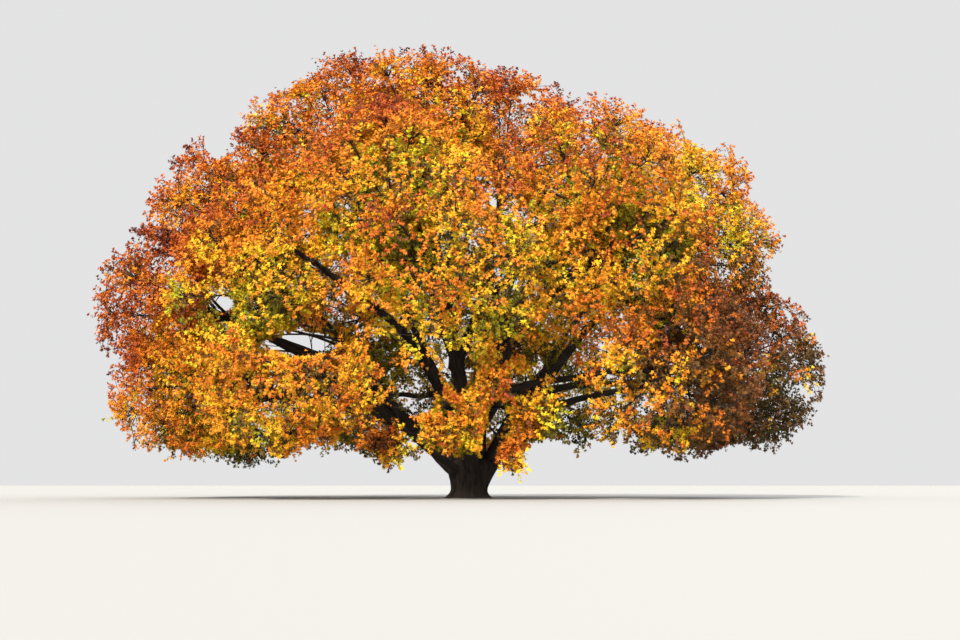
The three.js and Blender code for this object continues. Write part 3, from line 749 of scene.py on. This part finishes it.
def tint_numbers(k, sprigs, rng):
    """Each spray's tint: by ripeness from the sunny tints, or from the shaded ones, darker tints that paint
    shade, more often the further right and lower down, on the far side of lobe k from the light, at the foot
    of a side branch, and near the ground."""
    ripe, places = ripeness(k, sprigs, rng), sprigs["tip"]
    far_side = np.clip(-(places - CENTRES[k]) @ SUNWARD / RADII[k], 0, 1)
    chance = SHADE_CHANCE * in_shade(places) + FAR_SIDE_CHANCE * far_side
    chance += FOOT_CHANCE * np.clip(FOOT_SHARE - sprigs["share"], 0, 1)
    chance += LOW_CHANCE * np.clip((LOW_FROM - places[:, 2]) / LOW_DEPTH, 0, 1)
    shaded = rng.uniform(0, 1, len(places)) < chance + 0.5 * uneven(places / SHADE_GRAIN + APART["shade"])
    return np.where(shaded, len(SUNNY_TINTS) + ripe * len(PAINTED_SHADE_TINTS), ripe * len(SUNNY_TINTS)).astype(int)


def together(*groups):
    """Groups of like arrays as one group."""
    return {key: np.concatenate([group[key] for group in groups]) for key in groups[0]}


def room_test(k, overhang, sprigs):
    """A test of where there is room in lobe k's space, by the overhang more, or in open air alone where that
    is None. It also keeps off the limbs in view and, for sprigs, out of the thin patches."""

    def fits(places, slack):
        """Whether places have room, where the gaps are wider by the slack."""
        clear = open_air(places, slack) if overhang is None else in_space(places, k, -overhang, slack)
        clear = clear & off_limbs(places)
        return clear & outside_patches(places) if sprigs else clear

    return fits


def grow_lobe(k, sizes):
    """Lobe k's branches, side branches, sprigs and leaves, those along its bough and in its low sprays among
    them."""
    sprig_fits, outer_sprig_fits = room_test(k, None, True), room_test(k, SPRIG_OVERHANG, True)
    leaf_fits, outer_leaf_fits = room_test(k, None, False), room_test(k, LEAF_OVERHANG, False)
    rng = np.random.default_rng(FIRST_SEED + k)
    length, shares = sizes.sprig_length, np.linspace(*SPRIG_SPAN, sizes.sprigs)
    branches = first_branches(k, sizes, rng)
    sides = side_branches(k, branches, sizes, rng)
    inner = inner_branches(k, sizes, rng)
    spray_branches, spray_sides = low_sprays(k, sizes, rng)
    inner_shares = np.linspace(*INNER_SIDE_SPAN, sizes.inner_sides)
    inner_sides = side_shoots(inner, inner_shares, *INNER_SIDE, open_air, rng)
    outer_sprigs = side_shoots(sides, shares, length, SPRIG_LEAN, SPRIG_LIFT, outer_sprig_fits, rng)
    inner_sprigs = side_shoots(inner_sides, shares[1:], length, SPRIG_LEAN, SPRIG_LIFT, sprig_fits, rng)
    along, longer = np.linspace(*BRANCH_SPRIG_SPAN, sizes.branch_sprigs), BRANCH_SPRIG_LENGTH * length
    branch_sprigs = side_shoots(branches, along, longer, BRANCH_SPRIG_LEAN, SPRIG_LIFT, sprig_fits, rng)
    branch_sprigs["share"] = np.maximum(branch_sprigs["share"], BRANCH_SPRIG_SHARE)
    sprigs = [outer_sprigs, together(inner_sprigs, branch_sprigs)]
    leaves = [
        hang_leaves(k, group, sizes, fits, rng)
        for group, fits in zip(sprigs, (outer_leaf_fits, leaf_fits))
    ]
    for spray in spray_sides:
        sprigs.append(side_shoots(spray, shares, length, SPRIG_LEAN, SPRAY_SPRIG_LIFT, outside_gaps, rng))
        sprigs[-1]["share"][:] = SPRAY_SPRIG_SHARE
        leaves.append(hang_leaves(k, sprigs[-1], sizes, outside_gaps, rng))
    return {
        "branches": together(branches, *spray_branches),
        "sides": together(sides, inner, inner_sides, *spray_sides),
        "sprigs": together(*sprigs),
        "leaves": together(*leaves),
    }


_grown = {}


def grow_crown(sizes):
    """Every lobe's wood and leaves, by the lobe's name. The result is kept, so that wood and leaves
    agree."""
    if not _grown:
        _grown.update((lobe["name"], grow_lobe(k, sizes)) for k, lobe in enumerate(LOBES))
    return _grown


# Meshes.


def put_mesh(name, places, faces, materials, numbers=None, smooth=False):
    """A mesh object at the origin from an array of places and a list of face arrays, each of one corner
    count."""
    mesh = bpy.data.meshes.new(name)
    faces = [f for f in faces if len(f)]
    corners = np.concatenate([f.ravel() for f in faces]).astype(np.int32)
    totals = np.concatenate([np.full(len(f), f.shape[1]) for f in faces]).astype(np.int32)
    starts = np.concatenate([[0], np.cumsum(totals)[:-1]]).astype(np.int32)
    mesh.vertices.add(len(places))
    mesh.vertices.foreach_set("co", np.ascontiguousarray(places, np.float32).ravel())
    mesh.loops.add(len(corners))
    mesh.loops.foreach_set("vertex_index", corners)
    mesh.polygons.add(len(totals))
    mesh.polygons.foreach_set("loop_start", starts)
    mesh.polygons.foreach_set("loop_total", totals)
    for material in materials:
        mesh.materials.append(material)
    if numbers is not None:
        mesh.polygons.foreach_set("material_index", np.asarray(numbers, np.int32))
    mesh.polygons.foreach_set("use_smooth", np.full(len(totals), smooth))
    mesh.update(calc_edges=True)
    piece = bpy.data.objects.new(name, mesh)
    bpy.context.scene.collection.objects.link(piece)
    return piece


def ring_frames(paths):
    """The two directions across each path at each point: one square to its chord made square to its way, and
    its cross product with the way."""
    way = unit(np.gradient(paths, axis=1))
    across = square_to(unit(paths[:, -1] - paths[:, 0]))[:, None, :]
    side = unit(across - way * dot(across, way))
    return side, np.cross(way, side)


def tube_grid(paths, radii, sides):
    """Rings round many paths: the path's point plus the radius times the cosine and sine of the ring angle
    along the two directions across. Radii may differ round the ring."""
    side, other = ring_frames(paths)
    angle = TAU * np.arange(sides) / sides
    radii = radii[..., None] if radii.ndim == 2 else radii
    spoke = np.cos(angle)[:, None] * side[:, :, None, :] + np.sin(angle)[:, None] * other[:, :, None, :]
    return paths[:, :, None, :] + radii[..., None] * spoke


def tube_faces(count, rings, sides):
    """Four-cornered faces between neighbouring rings of every tube, and one flat face over each end."""
    first = (np.arange(count) * rings * sides)[:, None, None]
    ring = (np.arange(rings - 1) * sides)[None, :, None]
    here = np.arange(sides)[None, None, :]
    low, low_after = first + ring + here, first + ring + (here + 1) % sides
    walls = np.stack([low, low_after, low_after + sides, low + sides], axis=-1)
    ends = first[:, 0] + np.arange(sides)
    return [walls.reshape(-1, 4), ends[:, ::-1], ends + (rings - 1) * sides]


def spikes(shoots, radius):
    """Three-sided spikes from each shoot's start to its tip, closed by a face at the foot."""
    way = unit(shoots["tip"] - shoots["start"])
    side = square_to(way)
    angle = TAU * np.arange(3) / 3
    side, other = side[:, None, :], np.cross(way, side)[:, None, :]
    spoke = np.cos(angle)[:, None] * side + np.sin(angle)[:, None] * other
    foot, tip = shoots["start"][:, None, :] + radius * spoke, shoots["tip"][:, None, :]
    corners = np.concatenate([foot, tip], axis=1)
    faces = np.array([(2, 1, 0), (0, 1, 3), (1, 2, 3), (2, 0, 3)])
    return corners.reshape(-1, 3), [((np.arange(len(way)) * 4)[:, None, None] + faces).reshape(-1, 3)]


def thin_tubes(shoots, foot, tip, rings, sides):
    """Tubes along shoots, which taper evenly from the radius at the foot to the one at the tip."""
    share = np.broadcast_to(np.linspace(0, 1, rings), (len(shoots["start"]), rings))
    grid = tube_grid(bent(in_rows(shoots), share), mix(foot, tip, share), sides)
    return grid.reshape(-1, 3), tube_faces(len(share), rings, sides)


def joined(parts):
    """Several pairs of places and face lists as one, with each part's corner numbers moved past those before
    it."""
    places, faces, count = [], [], 0
    for part_places, part_faces in parts:
        places.append(part_places)
        faces.extend(f + count for f in part_faces)
        count += len(part_places)
    return np.concatenate(places), faces


def barked(angle, run, radius, coarse, seed):
    """How far the bark stands proud, 0 to 1, and the place to read its pattern at: noise drawn out along the
    limb, folded at its middle so that plates part at narrow furrows."""
    angle, run = np.broadcast_arrays(angle, run)
    place = np.stack([np.cos(angle) * radius, np.sin(angle) * radius, run], axis=-1)
    drawn = place * np.array([coarse, coarse, coarse * 0.16]) + seed
    drawn = drawn + 0.5 * lattice_noise(drawn * 0.7 + 3.1)[..., None]
    ridge = np.abs(2 * lattice_noise(drawn) - 1)
    fine = np.abs(2 * lattice_noise(drawn * np.array([2.3, 2.3, 3.4]) + 11.0) - 1)
    plates = np.minimum(1.0, 1.9 * ridge) * 0.72 + 0.28 * np.minimum(1.0, 1.6 * fine)
    return plates, place


def with_bark_place(piece, places):
    """Keeps the bark's own coordinates with the mesh, for its material to read."""
    attribute = piece.data.attributes.new("bark_place", "FLOAT_VECTOR", "POINT")
    attribute.data.foreach_set("vector", np.ascontiguousarray(places, np.float32).ravel())


# Materials.


def new_material(name):
    """A node material with one shader: the material, its node tree and the shader."""
    material = bpy.data.materials.new(name)
    material.use_nodes = True
    tree = material.node_tree
    return material, tree, tree.nodes["Principled BSDF"]


def add(tree, kind, **values):
    """A new node, with each value given to its socket or setting of that name."""
    node = tree.nodes.new(kind)
    for key, value in values.items():
        if key in node.inputs:
            node.inputs[key].default_value = value
        else:
            setattr(node, key, value)
    return node


def add_ramp(tree, *stops):
    """A colour ramp between two stops, each a position and a colour."""
    ramp = add(tree, "ShaderNodeValToRGB")
    for element, (position, colour) in zip(ramp.color_ramp.elements, stops):
        element.position, element.color = position, (*colour, 1)
    return ramp


def bark_material(name, dark, light, scale):
    """Furrowed bark: noise drawn out along the limb gives the plates and furrows, the edges of cells drawn
    out alike the flakes, and a broad noise the weathered patches."""
    material, tree, shader = new_material(name)
    place = add(tree, "ShaderNodeAttribute", attribute_name="bark_place")
    drawn = add(tree, "ShaderNodeMapping", Scale=(scale, scale, scale * 0.17))
    plates = add(tree, "ShaderNodeTexNoise", Scale=1.0, Detail=6.0, Roughness=0.62, Distortion=0.5)
    flakes = add(tree, "ShaderNodeTexVoronoi", Scale=2.6, feature="DISTANCE_TO_EDGE")
    coords = add(tree, "ShaderNodeTexCoord")
    patches = add(tree, "ShaderNodeTexNoise", Scale=1.3, Detail=3.0)
    wood = add_ramp(tree, (0.34, dark), (0.66, light))
    tone = add_ramp(tree, (0.36, (0.62, 0.60, 0.52)), (0.68, (1.0, 0.98, 0.95)))
    weathered = add(tree, "ShaderNodeMix", data_type="RGBA", blend_type="MULTIPLY")
    weathered.inputs[0].default_value = 0.55
    crack = add(tree, "ShaderNodeMath", operation="MULTIPLY")
    bump = add(tree, "ShaderNodeBump", Strength=0.85, Distance=0.03)
    for source, output, target, socket in (
        (place, "Vector", drawn, "Vector"),
        (drawn, "Vector", plates, "Vector"),
        (drawn, "Vector", flakes, "Vector"),
        (coords, "Object", patches, "Vector"),
        (plates, "Fac", wood, "Fac"),
        (patches, "Fac", tone, "Fac"),
        (wood, "Color", weathered, "A"),
        (tone, "Color", weathered, "B"),
        (weathered, "Result", shader, "Base Color"),
        (plates, "Fac", crack, 0),
        (flakes, "Distance", crack, 1),
        (crack, "Value", bump, "Height"),
        (bump, "Normal", shader, "Normal"),
    ):
        tree.links.new(source.outputs[output], target.inputs[socket])
    shader.inputs["Roughness"].default_value = 0.88
    shader.inputs["Specular IOR Level"].default_value = 0.25
    return material


def plain_material(name, colour, roughness, specular):
    """A matt material of one base colour, for things too small to hold a pattern."""
    material, _, shader = new_material(name)
    shader.inputs["Base Color"].default_value = (*colour, 1)
    shader.inputs["Roughness"].default_value = roughness
    shader.inputs["Specular IOR Level"].default_value = specular
    return material


# Settings.


class MapleSizes(bpy.types.PropertyGroup):
    """Sizes and counts of the bark, branches, twigs and leaves."""

    trunk_sides: IntProperty(name="Trunk sides", description="Points round the trunk", default=144, min=24)
    furrow_depth: FloatProperty(
        name="Furrow depth", description="How deep the trunk's furrows are", default=0.035, unit="LENGTH")
    collar: FloatProperty(
        name="Collar", default=0.42,
        description="How much wider a bough is where it leaves its carrier, as a share")
    branches: IntProperty(
        name="Branches", default=13, min=3,
        description="Branches that leave each stem, before those without room go")
    branch_spread: FloatProperty(
        name="Branch spread", default=112.0,
        description="Angle from a lobe's outward way that branches spread to, in degrees")
    least_room: FloatProperty(
        name="Least room", default=0.3,
        description="A branch with less room than this share of its lobe's radius is left out")
    side_branches: IntProperty(
        name="Side branches", default=190, min=2,
        description="Side branches in each lobe, before those without room go")
    side_spread: FloatProperty(
        name="Side branch spread", default=106.0,
        description="Angle from a lobe's outward way that side branches spread to, in degrees")
    side_depth: FloatProperty(
        name="Side branch depth", default=0.36,
        description="How far in from a lobe's outside the shortest side branch ends, as a share of its room")
    edge_fullness: FloatProperty(
        name="Edge fullness", default=1.16,
        description="Side branches in a lobe at the crown's left or right, as a share of the usual")
    back_fullness: FloatProperty(
        name="Back fullness", default=0.88,
        description="Side branches in a lobe at the back, as a share of the usual")
    front_fullness: FloatProperty(
        name="Front fullness", default=1.06,
        description="Side branches in any other lobe, as a share of the usual")
    inner_branches: IntProperty(
        name="Inner branches", description="Short branches along each bough", default=5, min=1)
    branch_sprigs: IntProperty(
        name="Branch sprigs", description="Leafy sprigs on each branch itself", default=8, min=2)
    inner_length: FloatProperty(
        name="Inner branch length", default=1.6, unit="LENGTH",
        description="Length of a short branch along a bough")
    inner_sides: IntProperty(
        name="Inner side branches", description="Side branches on each short branch", default=4, min=2)
    spray_branches: IntProperty(
        name="Low spray branches", default=44, min=4,
        description="Side branches in a low spray that reaches one metre")
    sprigs: IntProperty(name="Sprigs", description="Leafy sprigs on each side branch", default=8, min=2)
    sprig_length: FloatProperty(
        name="Sprig length", description="Length of a sprig", default=0.4, unit="LENGTH")
    leaf_pairs: IntProperty(
        name="Leaf pairs", description="Opposite pairs of leaves on each sprig", default=4, min=1)
    leaf_length: FloatProperty(
        name="Leaf length", description="Length of a leaf with its stalk", default=0.124, unit="LENGTH")


class MapleTint(bpy.types.PropertyGroup):
    """One autumn tint."""

    label: StringProperty(name="Label", description="The tint's plain name")
    colour: FloatVectorProperty(
        name="Colour", description="Base colour of the leaves of this tint",
        subtype="COLOR", size=3, min=0, max=1)


class MapleColours(bpy.types.PropertyGroup):
    """Colours of the wood, the leaves and the stage."""

    # The furrow and plate colours are darker than the bark's own: partly its own dark colour, partly painted
    # shade for the crown's shade over trunk and boughs.
    furrow: FloatVectorProperty(
        name="Furrow", description="Bark in its furrows",
        subtype="COLOR", size=3, default=(0.010, 0.0075, 0.006))
    plate: FloatVectorProperty(
        name="Plate", description="Bark on its plates",
        subtype="COLOR", size=3, default=(0.052, 0.040, 0.032))
    twig: FloatVectorProperty(
        name="Twig", description="Bark of branches and twigs",
        subtype="COLOR", size=3, default=(0.042, 0.031, 0.025))
    floor: FloatVectorProperty(
        name="Floor", description="The stage's floor",
        subtype="COLOR", size=3, default=(0.42, 0.42, 0.41))
    sky: FloatVectorProperty(
        name="Fill light", subtype="COLOR", size=3, default=(0.94, 0.94, 0.95),
        description="Colour of the light from all round")
    tints: CollectionProperty(type=MapleTint, name="Tints", description="The leaves' tints, sunny ones first")


SUNNY_TINTS = (
    ("olive", (0.23, 0.20, 0.02)),
    ("lime", (0.42, 0.40, 0.02)),
    ("lemon", (0.76, 0.58, 0.025)),
    ("yellow", (0.84, 0.49, 0.022)),
    ("gold", (0.80, 0.37, 0.02)),
    ("amber", (0.74, 0.28, 0.018)),
    ("orange", (0.67, 0.205, 0.016)),
    ("deep_orange", (0.58, 0.15, 0.015)),
    ("flame", (0.48, 0.105, 0.014)),
    ("vermilion", (0.38, 0.068, 0.014)),
    ("rust", (0.26, 0.044, 0.014)),
    ("maroon", (0.16, 0.03, 0.014)),
)
# Darker tints for sprays in the crown's shade, umber among them: partly the leaves' own duller colour, partly
# painted shade.
PAINTED_SHADE_TINTS = (
    ("painted_shade_moss", (0.08, 0.064, 0.018)),
    ("painted_shade_bronze", (0.145, 0.072, 0.018)),
    ("painted_shade_russet", (0.20, 0.064, 0.016)),
    ("umber", (0.09, 0.034, 0.016)),
)


def numbered(tier, first, last):
    """The names of a tier's lobes from one number to another."""
    return [f"{tier}_{number}" for number in range(first, last + 1)]


LEAF_GROUPS = (
    ("shoulder_front", numbered("shoulder", 1, 5)),
    ("shoulder_back", numbered("shoulder", 6, 9)),
    ("cap", numbered("cap", 1, 4) + numbered("dome", 1, 1)),
    ("dome", numbered("dome", 2, 7)),
    ("skirt_back", numbered("skirt", 1, 5)),
    ("skirt_front", numbered("skirt", 6, 9)),
)


# Pieces.


class MAPLE_OT_trunk(bpy.types.Operator):
    """Makes the trunk: a grid of angle and height, with the section's two half widths, root buttresses that
    die out upward, a domed fork and furrows."""

    bl_idname = "maple.trunk"
    bl_label = "Trunk"

    def execute(self, context):
        """Works the trunk out ring by ring and puts it in."""
        sizes, colours = context.scene.maple_sizes, context.scene.maple_colours
        sides = sizes.trunk_sides
        angle = TAU * np.arange(sides) / sides
        rise = np.linspace(0, FORK_HEIGHT, TRUNK_RINGS)
        rise = np.concatenate([rise, np.full(TRUNK_TOP_RINGS, FORK_HEIGHT)])[:, None]
        over = np.concatenate([np.zeros(TRUNK_RINGS), np.linspace(0, 1, TRUNK_TOP_RINGS + 1)[1:]])[:, None]
        half_width, half_depth, middle = trunk_section(rise)
        ribs = 1 + BUTTRESS_SHARE * np.cos(BUTTRESSES * angle + math.radians(BUTTRESS_TURN))
        round_trunk = np.stack([np.cos(angle) * 1.6 + 4, np.sin(angle) * 1.6, angle * 0], -1)
        ribs = ribs + BUTTRESS_CHANCE * uneven(round_trunk)
        flare = FLARE * np.exp(-rise / FLARE_HEIGHT) * ribs
        drawn = 1 - DOME_DRAWN_IN * over**DOME_DRAWN_POWER
        height = rise + FORK_CROWN * DOME_SHARE * np.sin(over * math.pi / 2) ** DOME_POWER
        proud, place = barked(angle[None, :], height, *TRUNK_BARK)
        fade = np.clip(1 - over * 1.2, 0, 1)
        broad = TRUNK_LUMP_HEIGHT * uneven(place * TRUNK_LUMPS + APART["trunk"])
        relief = sizes.furrow_depth * (proud - 1.0) * fade + broad * fade
        x = middle + np.cos(angle) * drawn * (half_width + flare + relief)
        y = np.sin(angle) * drawn * (half_depth + flare + relief)
        grid = np.stack([x, y, np.broadcast_to(height, x.shape)], -1)
        bark = bark_material("trunk_bark", colours.furrow, colours.plate, BARK_GRAIN["trunk"])
        faces = tube_faces(1, len(rise), sides)
        piece = put_mesh("barked_trunk", grid.reshape(-1, 3), faces, [bark], smooth=True)
        with_bark_place(piece, place.reshape(-1, 3))
        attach(piece, "root")
        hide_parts("trunk")
        return {"FINISHED"}


class MAPLE_OT_boughs(bpy.types.Operator):
    """Makes the boughs: tubes along their courses and on along each mass's stem, that taper by the 1.6th
    power, swell to a collar at the foot, sway, and carry furrows."""

    bl_idname = "maple.boughs"
    bl_label = "Boughs"

    def execute(self, context):
        """Works out the boughs from the trunk, then the others, and puts them in."""
        sizes, colours = context.scene.maple_sizes, context.scene.maple_colours
        bark = bark_material("bough_bark", colours.furrow, colours.plate, BARK_GRAIN["bough"])
        for large, name, sides, rings in BOUGH_PIECES:
            chosen = [k for k, bough in enumerate(BOUGH_COURSES) if bough["large"] == large]
            paths, thick, runs = [], [], []
            for k in chosen:
                course, end, (foot, tip) = (BOUGH_COURSES[k][key] for key in ("course", "end", "radius"))
                stem = np.linalg.norm(CENTRES[k] - end)
                along = np.linspace(0, 1, rings) * (course.length + stem)
                on_bough = np.clip(along / course.length, 0, 1)
                on_stem = np.clip((along - course.length) / stem, 0, 1)
                radius = mix(tip, foot, (1 - on_bough) ** TAPER_POWER)
                radius = radius * (1 + sizes.collar * np.exp(-along / (COLLAR_LENGTH * foot)))
                if carrier_of(LOBES[k]) is None:
                    whole = np.clip(along / SEATED_LENGTH, 0, 1) ** SEATED_POWER
                    radius *= mix(SEATED_SHARE, 1.0, whole)
                paths.append(sway(course.at(on_bough) + (CENTRES[k] - end) * on_stem[:, None]))
                thick.append(radius * mix(1.0, STEM_TIP_SHARE, on_stem))
                runs.append(along)
            paths, thick, runs = np.array(paths), np.array(thick), np.array(runs)
            angle = TAU * np.arange(sides) / sides
            apart = np.arange(len(chosen))[:, None, None, None] * BOUGH_APART
            proud, place = barked(angle[None, None, :], runs[..., None], *BOUGH_BARK, apart)
            lumps = uneven(place * BOUGH_LUMPS + APART["boughs"])
            relief = 1 + BOUGH_RELIEF * (proud - 0.8) + BOUGH_RELIEF * lumps
            grid = tube_grid(paths, thick[..., None] * relief, sides)
            faces = tube_faces(len(chosen), rings, sides)
            piece = put_mesh(name, grid.reshape(-1, 3), faces, [bark], smooth=True)
            with_bark_place(piece, place.reshape(-1, 3))
            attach(piece, "root")
            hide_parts(*[f"bough_{LOBES[k]['name']}" for k in chosen])
        return {"FINISHED"}


class MAPLE_OT_branches(bpy.types.Operator):
    """Makes the branches and side branches, thin tubes that bend once and taper evenly, and the sprigs that
    carry the leaves, three-sided spikes."""

    bl_idname = "maple.branches"
    bl_label = "Branches and sprigs"

    def execute(self, context):
        """Puts in the branches of the whole crown, then its upper and its lower sprigs."""
        crown, colours = grow_crown(context.scene.maple_sizes), context.scene.maple_colours
        wood = plain_material("twig_wood", colours.twig, *TWIG_FINISH)
        for name, tiers in WOOD_PIECES:
            names = [lobe["name"] for lobe in LOBES if lobe["tier"] in tiers]
            if name == "branches":
                parts = [thin_tubes(crown[lobe][kind], *form) for lobe in names for kind, *form in WOOD_TUBES]
            else:
                parts = [spikes(crown[lobe]["sprigs"], SPRIG_RADIUS) for lobe in names]
            piece = put_mesh(name, *joined(parts), [wood], smooth=name == "branches")
            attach(piece, "root")
            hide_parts(*[f"foliage_{lobe}" for lobe in names])
        return {"FINISHED"}


class MAPLE_OT_leaves(bpy.types.Operator):
    """Makes the leaves: three lobes each, the side lobes on one face, rolled by chance, and the middle lobe
    on another, its foot raised and its tip curled, with one tint to a sprig."""

    bl_idname = "maple.leaves"
    bl_label = "Leaves"

    def execute(self, context):
        """Puts in each group of lobes' leaves, with their tints."""
        crown, colours = grow_crown(context.scene.maple_sizes), context.scene.maple_colours
        tints = [plain_material(f"leaf_{tint.label}", tint.colour, *LEAF_FINISH) for tint in colours.tints]
        outline = np.array(LEAF_CORNERS)
        lobes = np.array([(0, 1, 2), (3, 4, 5)])
        for group, names in LEAF_GROUPS:
            places, numbers = [], []
            for name in names:
                leaves = crown[name]["leaves"]
                rng = np.random.default_rng(len(leaves["root"]))
                side = np.cross(leaves["along"], leaves["face"])
                lifted = np.zeros((len(side), len(outline)))
                lifted[:, 1:3] = rng.uniform(*LEAF_ROLL, (len(side), 2))
                lifted[:, 3:5] = LEAF_RAISE
                lifted[:, 5] = rng.uniform(*LEAF_CURL, len(side))
                corners = leaves["root"][:, None, :] + leaves["length"][:, None, None] * (
                    outline[:, :1] * side[:, None, :]
                    + outline[:, 1:] * leaves["along"][:, None, :]
                    + lifted[..., None] * leaves["face"][:, None, :]
                )
                places.append(corners)
                numbers.append(leaves["tint"])
            corners = np.concatenate(places)
            faces = (np.arange(len(corners)) * len(outline))[:, None, None] + lobes
            faces = [faces.reshape(-1, 3)]
            numbers = np.repeat(np.concatenate(numbers), len(lobes))
            piece = put_mesh(f"leaves_{group}", corners.reshape(-1, 3), faces, tints, numbers)
            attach(piece, "root")
            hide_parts(*[f"foliage_{name}" for name in names])
        return {"FINISHED"}


class MAPLE_OT_stage(bpy.types.Operator):
    """Makes the pale floor, the soft key, top, back and fill lights, and the camera at the photograph's
    place."""

    bl_idname = "maple.stage"
    bl_label = "Stage"

    def execute(self, context):
        """Puts in the floor, the lights and the camera."""
        scene, colours = context.scene, context.scene.maple_colours
        angle = TAU * np.arange(FLOOR_SIDES) / FLOOR_SIDES
        disc = np.stack([np.cos(angle), np.sin(angle), 0 * angle], -1) * FLOOR_RADIUS
        disc[:, 2] = FLOOR_HEIGHT
        pale = plain_material("floor", colours.floor, *FLOOR_FINISH)
        floor = put_mesh("floor", disc, [np.arange(FLOOR_SIDES)[None, :]], [pale])
        world = bpy.data.worlds.new("studio")
        world.use_nodes = True
        background = world.node_tree.nodes["Background"]
        background.inputs["Color"].default_value = (*colours.sky, 1)
        background.inputs["Strength"].default_value = FILL_STRENGTH
        scene.world = world
        for name, turn, height, energy, size, tint in LAMPS:
            lamp = bpy.data.lights.new(name, "SUN")
            lamp.energy, lamp.angle, lamp.color = energy, math.radians(size), tint
            holder = bpy.data.objects.new(name, lamp)
            holder.rotation_euler = (math.radians(90 - height), 0, math.radians(turn))
            scene.collection.objects.link(holder)
        lens = bpy.data.cameras.new("view")
        lens.sensor_width, lens.lens, lens.clip_start, lens.clip_end = SENSOR_WIDTH, LENS, NEAREST, FURTHEST
        camera = bpy.data.objects.new("view", lens)
        camera.location = Vector(EYE)
        aim = Vector((EYE[0], 0, AIM_HEIGHT)) - camera.location
        camera.rotation_euler = aim.to_track_quat("-Z", "Y").to_euler()
        scene.collection.objects.link(camera)
        scene.camera = camera
        scene.view_settings.view_transform = "Standard"
        return {"FINISHED"}


class MAPLE_PT_panel(bpy.types.Panel):
    """Lists the tree's pieces and their settings."""

    bl_idname = "MAPLE_PT_panel"
    bl_label = "Autumn maple"
    bl_space_type = "VIEW_3D"
    bl_region_type = "UI"
    bl_category = "Maple"

    def draw(self, context):
        """A button for each operator, then every setting."""
        column = self.layout.column(align=True)
        for operator in PIECES:
            column.operator(operator.bl_idname)
        for group in (context.scene.maple_sizes, context.scene.maple_colours):
            box = self.layout.box()
            for name in group.bl_rna.properties.keys():
                if name not in ("rna_type", "name", "tints"):
                    box.prop(group, name)
        for tint in context.scene.maple_colours.tints:
            self.layout.prop(tint, "colour", text=tint.label)


PIECES = (MAPLE_OT_stage, MAPLE_OT_trunk, MAPLE_OT_boughs, MAPLE_OT_branches, MAPLE_OT_leaves)
CLASSES = (MapleSizes, MapleTint, MapleColours, *PIECES, MAPLE_PT_panel)


def register():
    """Adds the classes and the scene's settings."""
    for cls in CLASSES:
        bpy.utils.register_class(cls)
    bpy.types.Scene.maple_sizes = PointerProperty(type=MapleSizes)
    bpy.types.Scene.maple_colours = PointerProperty(type=MapleColours)


def unregister():
    """Takes them away again."""
    del bpy.types.Scene.maple_colours
    del bpy.types.Scene.maple_sizes
    for cls in reversed(CLASSES):
        bpy.utils.unregister_class(cls)


def main():
    """Registers the classes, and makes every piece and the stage."""
    register()
    for label, colour in (*SUNNY_TINTS, *PAINTED_SHADE_TINTS):
        tint = bpy.context.scene.maple_colours.tints.add()
        tint.label, tint.colour = label, colour
    bpy.ops.maple.stage()
    bpy.ops.maple.trunk()
    bpy.ops.maple.boughs()
    bpy.ops.maple.branches()
    bpy.ops.maple.leaves()


if __name__ == "__main__":
    main()
